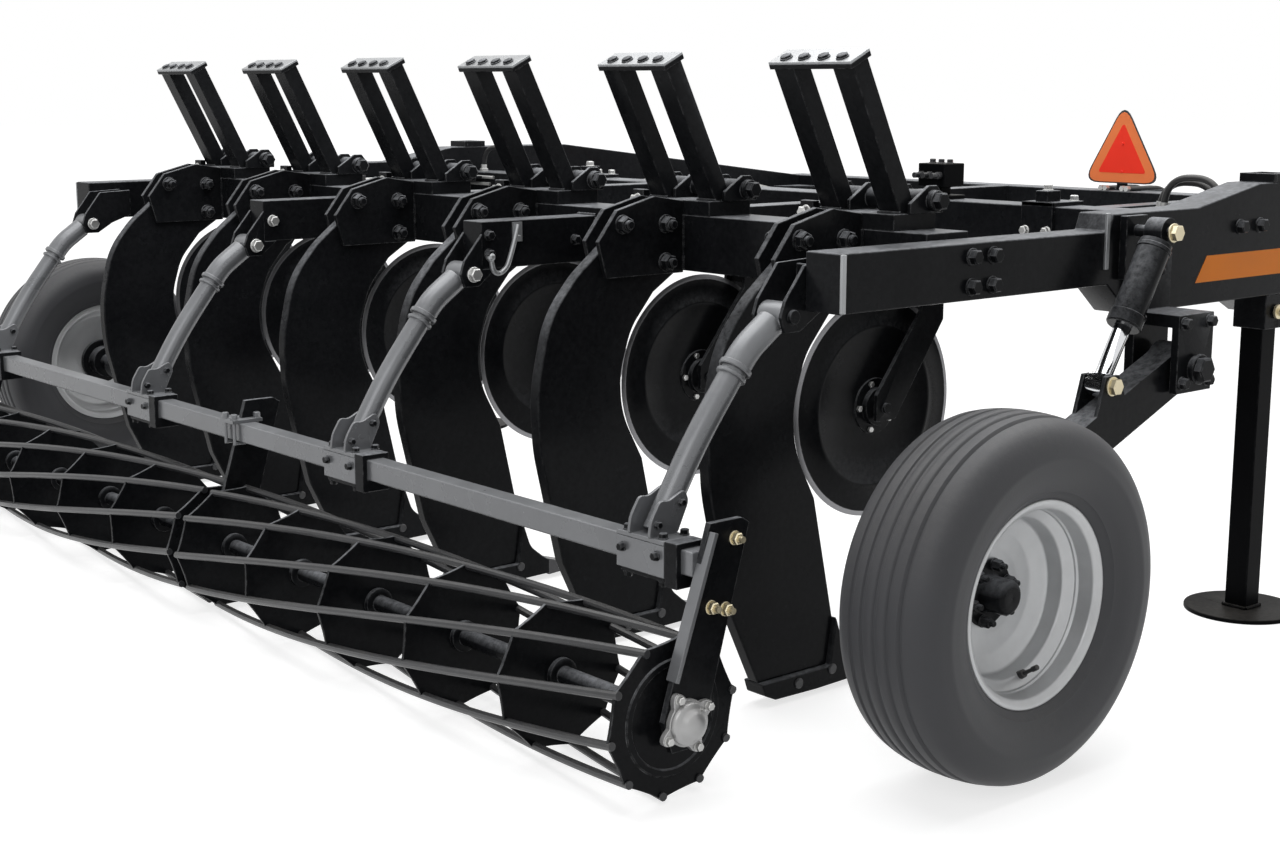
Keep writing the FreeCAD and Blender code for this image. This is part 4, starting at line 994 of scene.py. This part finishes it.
# %% Cylinders
BARREL_LENGTH, EYE_RADIUS = 0.248, 0.028
for side, sign in SIDES:
    y = box_centre(f"lift_barrel_{side}").y
    top = Vector((-1.120, y, 1.060))
    eye_low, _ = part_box(f"lift_rod_{side}")
    bottom = Vector((eye_low.x + EYE_RADIUS, y, eye_low.z + EYE_RADIUS))
    down = (bottom - top).normalized()
    dressed(f"lift_barrel_{side}", 0.0)
    dressed(f"lift_rod_{side}", 0.0, "chrome")
    for start, stop, wide in ((BARREL_LENGTH - 0.034, BARREL_LENGTH - 0.002, 0.0415),
                              (0.040, 0.052, 0.0405)):
        add_collar(0.0375, wide, start, stop, top, down, 40)
    out = Vector((-down.z, 0, down.x))                  # square to the barrel, forwards
    for along in (0.072, BARREL_LENGTH - 0.052):
        port = top + down * along + out * 0.036
        add_tube([port + out * reach for reach in (0.0, 0.012, 0.013, 0.024)],
                 [0.013, 0.013, 0.010, 0.010], 14)
    piece(f"barrel_fittings_{side}", "black_gloss", 0.0008, f"cylinder_{side}")
    for label, body, spot, reach in (("upper", "frame", top, 0.034),
                                     ("lower", f"lift_arm_{side}", bottom, 0.035)):
        add_bolt(spot + Vector((0, sign * reach, 0)), (0, sign, 0), 0.034, head=0.45)
        piece(f"pin_head_{label}_{side}", "yellow_zinc", body=body)
    pivot = Vector((-1.050, sign * 2.010, 0.740))
    add_bolt(pivot, (0, sign, 0), 0.055, head=0.35)
    for x, z in ((-0.050, 0.110), (0.050, 0.110), (-0.050, -0.030), (0.050, -0.030)):
        add_bolt(pivot + Vector((x, -sign * 0.012, z)), (0, sign, 0), 0.024)
    piece(f"pivot_bolts_{side}", "black_gloss")
print("cylinder length", round((bottom - top).length, 3))

# %% [markdown]
# ## Bolts and welds of the legs
#
# Three heavy bolts hold each pair of cheeks, and a weld bead joins them to the toolbar. Beads are
# swept tubes with a small ripple in their radius, which is how a hand-laid weld looks from a
# metre away.

# %% Weld bead


def add_bead(start, end, radius=0.0045):
    """A weld bead between two points; its radius swells at every ripple."""
    start, end = Vector(start), Vector(end)
    steps = max(3, int((end - start).length / 0.006))
    add_tube([start.lerp(end, s / steps) for s in range(steps + 1)],
             [radius * (0.86 + 0.22 * (s % 2)) for s in range(steps + 1)], 8)


# %% Cheek bolts and beads
SHANK_HALF, CHEEK_GAP, CHEEK_PLATE = 0.0175, 0.0015, 0.014
CHEEK_FACE = SHANK_HALF + CHEEK_GAP + CHEEK_PLATE
CHEEK_BOLTS = ((-0.060, 1.055), (-0.060, 0.960), (-0.200, 1.060))
head = TOOLBAR_LOW.x
for k, y in LEG_Y.items():
    for way in (1, -1):
        for dx, z in CHEEK_BOLTS:
            add_bolt((head + dx, y + way * CHEEK_FACE, z), (0, way, 0), 0.036, head=0.55,
                     turn=0.3 + dx * 9)         # neighbours aren't turned alike
            add_tube([(head + dx, y + way * (CHEEK_FACE + reach), z) for reach in
                      (0.015, 0.033, 0.035)], [0.0118, 0.0118, 0.009], 14)
    piece(f"cheek_bolts_{k}", "black_gloss")
    for way in (1, -1):
        edge = y + way * (CHEEK_FACE + 0.002)
        add_bead((head - 0.002, edge, TOOLBAR_LOW.z + 0.004),
                 (head - 0.002, edge, TOOLBAR_HIGH.z))
    piece(f"cheek_beads_{k}", "black_gloss")
print("cheek bolts:", 2 * len(CHEEK_BOLTS) * len(LEG_Y))

# %% [markdown]
# ## Coulter clamps
#
# Each stem is gripped between the block on the toolbar and a front plate, by four long bolts, so
# the coulter can be slid along.

# %% Coulter clamps
front = TOOLBAR_HIGH.x + 0.140
for k, y in LEG_Y.items():
    add_box((front + 0.0005, y - 0.058, 0.952), (front + 0.0145, y + 0.058, 1.058))
    piece(f"clamp_plate_{k}", "black_gloss", 0.002)
    for across in (y - 0.043, y + 0.043):
        for z in (0.972, 1.038):
            add_bolt((front + 0.0145, across, z), (1, 0, 0), 0.024, head=0.7)
            for near, far in ((0.030, 0.046), (-0.060, 0.001)):
                add_tube([(front + near, across, z), (front + far, across, z)], 0.0078, 12)
    piece(f"clamp_bolts_{k}", "zinc_plate")
print("coulter clamps:", len(DISC))

# %% [markdown]
# ## Bolted joints of the rails and beams
#
# A pair of plated bolts stands out near each rear end of the frame, where the arm lugs are fixed.
# Black bolts and weld beads hold the cross tubes to the rails and side beams.

# %% Frame bolts and beads
for side, sign in SIDES:
    add_bolt((-2.046, sign * BEAM_INNER, 0.999), (0, -sign, 0), 0.026, head=0.6)
    add_bolt((-2.070, sign * RAIL_INNER, 0.995), (0, -sign, 0), 0.026, head=0.6)
piece("rear_bolts", "zinc_plate")
for side, sign in SIDES:
    for x, z in ((-2.078, 0.972), (-2.078, 1.020), (-1.800, 0.995)):
        add_bolt((x, sign * RAIL_OUTER, z), (0, sign, 0), 0.022, head=0.6)
    for x, z in ((-1.690, 0.965), (-1.690, 1.030), (-1.620, 0.965), (-1.620, 1.030),
                 (-0.655, 1.045), (-0.355, 1.045), (-0.565, 1.045), (-0.265, 1.045)):
        add_bolt((x, sign * BEAM_OUTER, z), (0, sign, 0), 0.030, head=0.55)
piece("beam_bolts", "black_gloss")
for side, sign in SIDES:
    for x, low, high in ((-1.727, 0.937, 1.052), (-1.583, 0.937, 1.052),
                         (-0.522, 0.937, 1.052), (-0.398, 0.937, 0.978)):
        for face in (RAIL_OUTER + 0.002, RAIL_INNER - 0.002):
            add_bead((x, sign * face, low), (x, sign * face, high))
        add_bead((x, sign * (RAIL_INNER + 0.002), high + 0.004),
                 (x, sign * (RAIL_OUTER - 0.002), high + 0.004))
piece("rail_beads", "black_gloss")
print("frame bolts and beads done")

# %% [markdown]
# ## Small fittings on the frame
#
# A clean frame looks unfinished. Real ones carry hose hooks, a valve block for the lift circuit,
# strap plates and a collar for each stand. Every fitting sits on a plate of the frame, so nothing
# hangs in the air.

# %% Hooks and collars
COLLAR_IN, COLLAR_OUT, COLLAR_BASE, COLLAR_TOP = 0.035, 0.050, 1.150, 1.172
COLLAR_WALLS = ((-COLLAR_OUT, -COLLAR_OUT, -COLLAR_IN, COLLAR_OUT),
                (COLLAR_IN, -COLLAR_OUT, COLLAR_OUT, COLLAR_OUT),
                (-COLLAR_IN, -COLLAR_OUT, COLLAR_IN, -COLLAR_IN),
                (-COLLAR_IN, COLLAR_IN, COLLAR_IN, COLLAR_OUT))
for side, sign in SIDES:
    face, out = sign * RAIL_OUTER, Vector((0, sign, 0))
    add_box((-2.004, face, 1.000), (-1.974, face + sign * 0.004, 1.050))
    hook = swept([(x, face + sign * 0.008, z) for x, z in
                  ((-1.990, 1.044), (-2.008, 0.985), (-2.030, 0.928), (-2.068, 0.918),
                   (-2.078, 0.966))], 0.024, 6)
    add_tube(hook, 0.0068, 12)
    add_lathe([(CORE, -0.013), (0.007, -0.0115), (0.0120, -0.004), (0.0120, 0.004),
               (0.007, 0.0115), (CORE, 0.013)], hook[-1], UP, 20, closed=False)
    add_bolt((-1.989, face + sign * 0.004, 1.010), out, 0.014, head=0.5, washer=False)
    piece(f"hose_hook_{side}", "pale_plate")
    for x0, y0, x1, y1 in COLLAR_WALLS:
        add_box((STAND_X + x0, sign * STAND_Y + y0, COLLAR_BASE),
                (STAND_X + x1, sign * STAND_Y + y1, COLLAR_TOP))
    piece(f"stand_collar_{side}", "black_gloss", 0.0012)
    pin = Vector((STAND_X, sign * BEAM_OUTER, 0.815))   # lock pin through the stand's sleeve
    add_turned([(0.017, 0), (0.019, 0.002), (0.019, 0.008), (0.011, 0.010), (0.011, 0.026),
                (0.008, 0.029)], pin, out)
    add_tube(swept([pin + out * reach + Vector((x, 0, z)) for reach, x, z in
                    ((0.020, 0.011, 0), (0.024, 0.052, 0.004), (0.024, 0.058, -0.046),
                     (0.012, 0.020, -0.048))], 0.014, 5), 0.0038)
    piece(f"stand_pin_{side}", "yellow_zinc")
    # Thin pale upright bars on each beam's outer face: painted highlights of edges that catch the
    # light.
    for x, low, high in ((-1.2190, 0.972, 1.1035), (-2.1015, 0.937, 1.0585)):
        add_box((x, sign * (BEAM_OUTER - 0.0005), low), (x + 0.013, sign * 1.8570, high))
    piece(f"edge_highlight_bars_{side}", "pale_plate", 0.0018)
print("hooks, collars and pins:", 2 * len(SIDES))

# %% Valve block
DECK = 1.0552                           # a hair above the middle tube's top
add_box((-0.505, -0.760, DECK), (-0.415, -0.640, 1.0672))
add_box((-0.482, -0.722, 1.0672), (-0.438, -0.678, 1.0920))
add_box((-0.506, -0.752, 1.0920), (-0.414, -0.648, 1.1620))
piece("valve_block", "dark_black", 0.003)
for across in (-0.734, -0.700, -0.666):
    add_tube([(x, across, 1.127) for x in (-0.506, -0.520, -0.521, -0.545)],
             [0.011, 0.011, 0.0085, 0.0085], 14)
    add_bolt((-0.460, across, 1.162), UP, 0.017, head=0.6)
piece("valve_ports", "worn_black")
print("valve block on the middle tube at", DECK)

# %% Strap plates
STRAPS = (-1.120, 0.980)                # plates strapped over the middle tube
for y in STRAPS:
    add_box((-0.532, y - 0.055, DECK), (-0.388, y + 0.055, 1.0672))
    add_box((-0.532, y - 0.055, 0.925), (-0.5205, y + 0.055, 1.0672))
    add_box((-0.512, y - 0.022, 1.0672), (-0.452, y + 0.022, 1.0980))
piece("strap_plates", "black_gloss", 0.002)
for y in STRAPS:
    for across in (y - 0.038, y + 0.038):
        add_bolt((-0.410, across, 1.0672), UP, 0.022)
        add_bolt((-0.532, across, 0.985), (-1, 0, 0), 0.022)
    add_bolt((-0.482, y, 1.0980), UP, 0.024)
piece("strap_bolts", "zinc_plate")
print("strap plates:", len(STRAPS))

# %% Bridge hoses
BRIDGE_FOOT = 1.0555
for n, (y0, y1, x, rise) in enumerate(((-1.675, -1.500, -0.470, 0.095),
                                       (-1.640, -1.465, -0.435, 0.080),
                                       (1.500, 1.675, -0.470, 0.095)), start=1):
    for y in (y0, y1):                                  # a short hose between two elbows
        add_turned([(0.017, 0), (0.017, 0.010), (0.012, 0.012), (0.012, 0.026)],
                   (x, y, BRIDGE_FOOT), UP, 16)
    piece(f"hose_ends_{n}", "zinc_plate")
    add_tube(swept([(x, y, BRIDGE_FOOT + up) for y, up in
                    ((y0, 0.022), (y0 + 0.006, rise), (y1 - 0.006, rise), (y1, 0.022))],
                   0.075, 12), 0.0095, 12)
    piece(f"bridge_hose_{n}", "hose_rubber")

# %% [markdown]
# ## Oil lines
#
# Steel lines bring oil to each lift cylinder. They lie along the inner face of the side beam
# under a row of saddle clamps, so they count as fixed trim.

# %% Oil lines
LINE_RADIUS = 0.0062
for side, sign in SIDES:
    face = sign * BEAM_INNER
    y = face - sign * 0.0105
    for n in range(2):
        z = 1.010 + 0.026 * n
        add_tube(swept([(-1.060, y, z), (-0.560, y, z), (-0.525, y - sign * 0.030, z),
                        (-0.525, y - sign * (0.180 + 0.026 * n), z)], 0.022, 6), LINE_RADIUS)
        add_tube(swept([(-0.395, y, z - 0.050), (0.900, y, z - 0.050), (1.330, y, z - 0.140)],
                       0.2, 6), LINE_RADIUS)
    piece(f"oil_lines_{side}", "zinc_plate")
    for x, z in ((-1.00, 1.023), (-0.62, 1.023), (-0.30, 0.973), (0.20, 0.973), (0.70, 0.973)):
        add_box((x - 0.011, face, z - 0.030), (x + 0.011, face - sign * 0.0215, z + 0.030))
    piece(f"line_clamps_{side}", "hose_rubber", 0.0015)
print("oil lines:", len(SIDES))

# %% [markdown]
# ## Front corners and hitch
#
# The welded corners carry flat gussets, and the hitch end carries the oil hoses to the tractor.
# These are strapped down all along the tongue and end in a holder, so they are trim that can't
# swing.

# %% Corner gussets
CORNERS = ((1.3895, 0.925, 0.170, -1), (-0.3995, 1.030, 0.150, 1), (-1.5845, 1.030, 0.105, 1),
           (-0.5205, 1.030, 0.150, -1))     # x, height, leg length and way of each gusset
FLANK = ((1.5105, 0.850), (1.5105, 0.978), (1.628, 0.974), (1.790, 0.886), (1.770, 0.858))
for side, sign in SIDES:
    inner = sign * (BEAM_INNER - 0.0005)
    for x, z, reach, way in CORNERS:
        tip = reach * 0.94
        add_prism([(x + way * dx, inner - sign * dy, z) for dx, dy in
                   ((0, 0), (reach, 0), (tip, 0.016), (0.016, tip), (0, reach))],
                  (0, 0, 0), (0, 0, 0.010))
    add_plate(FLANK, sign * 0.0752, sign * 0.0852)
piece("corner_gussets", "black_gloss", 0.0015)
for side, sign in SIDES:
    for x, z in ((1.545, 0.880), (1.545, 0.948), (1.620, 0.938), (1.700, 0.880)):
        add_bolt((x, sign * 0.0852, z), (0, sign, 0), 0.024, head=0.6)
    for z in (0.5625, 0.4375):
        add_bolt((2.555, sign * 0.038, z), (1, 0, 0), 0.018, head=0.6)
piece("hitch_bolts", "zinc_plate")
print("gussets on each side:", len(CORNERS) + 1)

# %% Hitch hoses
SLOPE_TOP, SLOPE_FOOT = Vector((1.620, 0, 0.980)), Vector((2.410, 0, 0.575))
slope = (SLOPE_FOOT - SLOPE_TOP).normalized()
above = Vector((-slope.z, 0, slope.x)) * 0.021
HOSES = (0.040, 0.060, -0.040, -0.060)
HOSE_PATH = swept([(1.404, 0, 0.9895), SLOPE_TOP + Vector((0.003, 0, 0.0095)),
                   SLOPE_FOOT + Vector((0.003, 0, 0.0095)), (2.448, 0, 0.5845),
                   (2.500, 0, 0.602)], 0.040, 6)
for n, y in enumerate(HOSES, start=1):
    add_tube([p + Vector((0, y, 0)) for p in HOSE_PATH], 0.0080)
    piece(f"hitch_hose_{n}", "hose_rubber")
for y in HOSES:
    add_turned([(0.0105, 0), (0.0105, 0.014), (0.0090, 0.016), (0.0090, 0.022),
                (0.0098, 0.024), (0.0098, 0.044), (0.0080, 0.047)], (2.497, y, 0.601),
               (0.949, 0, 0.316), 18)
    add_turned([(0.0115, 0), (0.0115, 0.020)], (1.392, y, 0.9905), (1, 0, 0), 6)
piece("hose_couplers", "zinc_plate")
for share in (0.10, 0.36, 0.62, 0.88):
    base = SLOPE_TOP.lerp(SLOPE_FOOT, share)
    near, far = base - slope * 0.011, base + slope * 0.011
    for way in (1, -1):
        add_prism([near, far, far + above, near + above], (0, way * 0.028, 0),
                  (0, way * 0.072, 0))
for way in (1, -1):                                     # the holder at the tongue's nose
    add_plate(((2.470, 0.5755), (2.476, 0.5755), (2.476, 0.612), (2.470, 0.612)),
              way * 0.026, way * 0.0745)
piece("hose_straps", "worn_black", 0.0012)
print("hitch hoses:", len(HOSES))

# %% [markdown]
# ## Stand feet
#
# A bead closes the joint between each stand's leg and its round foot. It rides on the stand, so
# it slides with it.

# %% Stand beads
LEG_HALF = 0.034
for side, sign in SIDES:
    corners = [(STAND_X + a * LEG_HALF, sign * STAND_Y + b * LEG_HALF, 0.0155)
               for a, b in ((-1, -1), (1, -1), (1, 1), (-1, 1))]
    for start, stop in zip(corners, corners[1:] + corners[:1]):
        add_bead(start, stop, 0.005)
    piece(f"stand_bead_{side}", "dark_black", body=f"stand_{side}")
print("stands:", len(SIDES))

# %% [markdown]
# ## Worn points
#
# The chisel points rub down in the soil. A thin skin of dark worn steel covers the flat nose of
# each shoe, with worn pins on either side behind it.

# %% Points
POINT = ((0.030, 0.0115), (0.1225, 0.0175), (0.1262, 0.0300), (0.030, 0.0585))
for k, y in LEG_Y.items():
    add_plate(POINT, -0.0325, 0.0325, (head, y, 0))
    piece(f"worn_point_{k}", "dark_steel", 0.0015)
    for x, z in ((head - 0.070, 0.052), (head - 0.180, 0.040)):
        for way in (1, -1):
            add_turned([(0.0125, 0), (0.0125, 0.003), (0.010, 0.005)],
                       (x, y + way * 0.0320, z), (0, way, 0), 18)
    piece(f"shoe_pins_{k}", "worn_black")
print("points:", len(LEG_Y))

# %% [markdown]
# ## Warning sign
#
# The slow-vehicle triangle is a sheet with a fluorescent centre and a reflective border. Three
# thin layers, each a rounded triangle, give the real build-up.

# %% Sign
sign_low, sign_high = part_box("warning_sign")
SIGN_TALL = sign_high.z - sign_low.z


def triangle(shrink, corner):
    """Corners (across, height) of an upright triangle, drawn in by a distance."""
    reach = SIGN_TALL * 0.672 - 2 * shrink
    points = [(reach * math.sin(a), reach * math.cos(a)) for a in (0, TAU / 3, 2 * TAU / 3)]
    middle = Vector((0, sign_low.z + SIGN_TALL / 3.0))
    return [p + middle for p in rounded(points, corner, 6)]


for name, shrink, corner, start, depth, look in (
        ("sign_sheet", -0.0015, 0.075, 0.004, 0.0035, "worn_black"),
        ("sign_border_film", 0.0035, 0.072, 0.0005, 0.0008, "sign_border"),
        ("sign_centre_film", 0.0400, 0.016, -0.0003, 0.0008, "sign_centre")):
    add_prism([(sign_low.x + start, p.x, p.y) for p in triangle(shrink, corner)],
              (0, 0, 0), (-depth, 0, 0))
    piece(name, look, replaces=("warning_sign",) if name == "sign_sheet" else ())
for z in (0.045, 0.155):
    add_bolt((sign_low.x - 0.0002, 0, sign_low.z + z), (-1, 0, 0), 0.010, head=0.5)
piece("sign_bolts", "sign_centre")
print("sign height", round(SIGN_TALL, 3))

# %% [markdown]
# ## Stripe
#
# Each deep side beam carries a plain orange stripe with slanted ends. A thin raised layer keeps
# its edge crisp from any distance.

# %% Side stripes
STRIPE = ((-0.840, 0.915), (0.300, 0.915), (0.345, 0.980), (-0.795, 0.980))
for side, sign in SIDES:
    add_plate(STRIPE, sign * 1.8502, sign * 1.8508)
    piece(f"side_stripe_{side}", "orange_stripe")
print("stripes:", len(SIDES))

# %% [markdown]
# ## Size
#
# The dressed machine has to keep to the imported one's box, give or take a few millimetres.

# %% Last import
import json
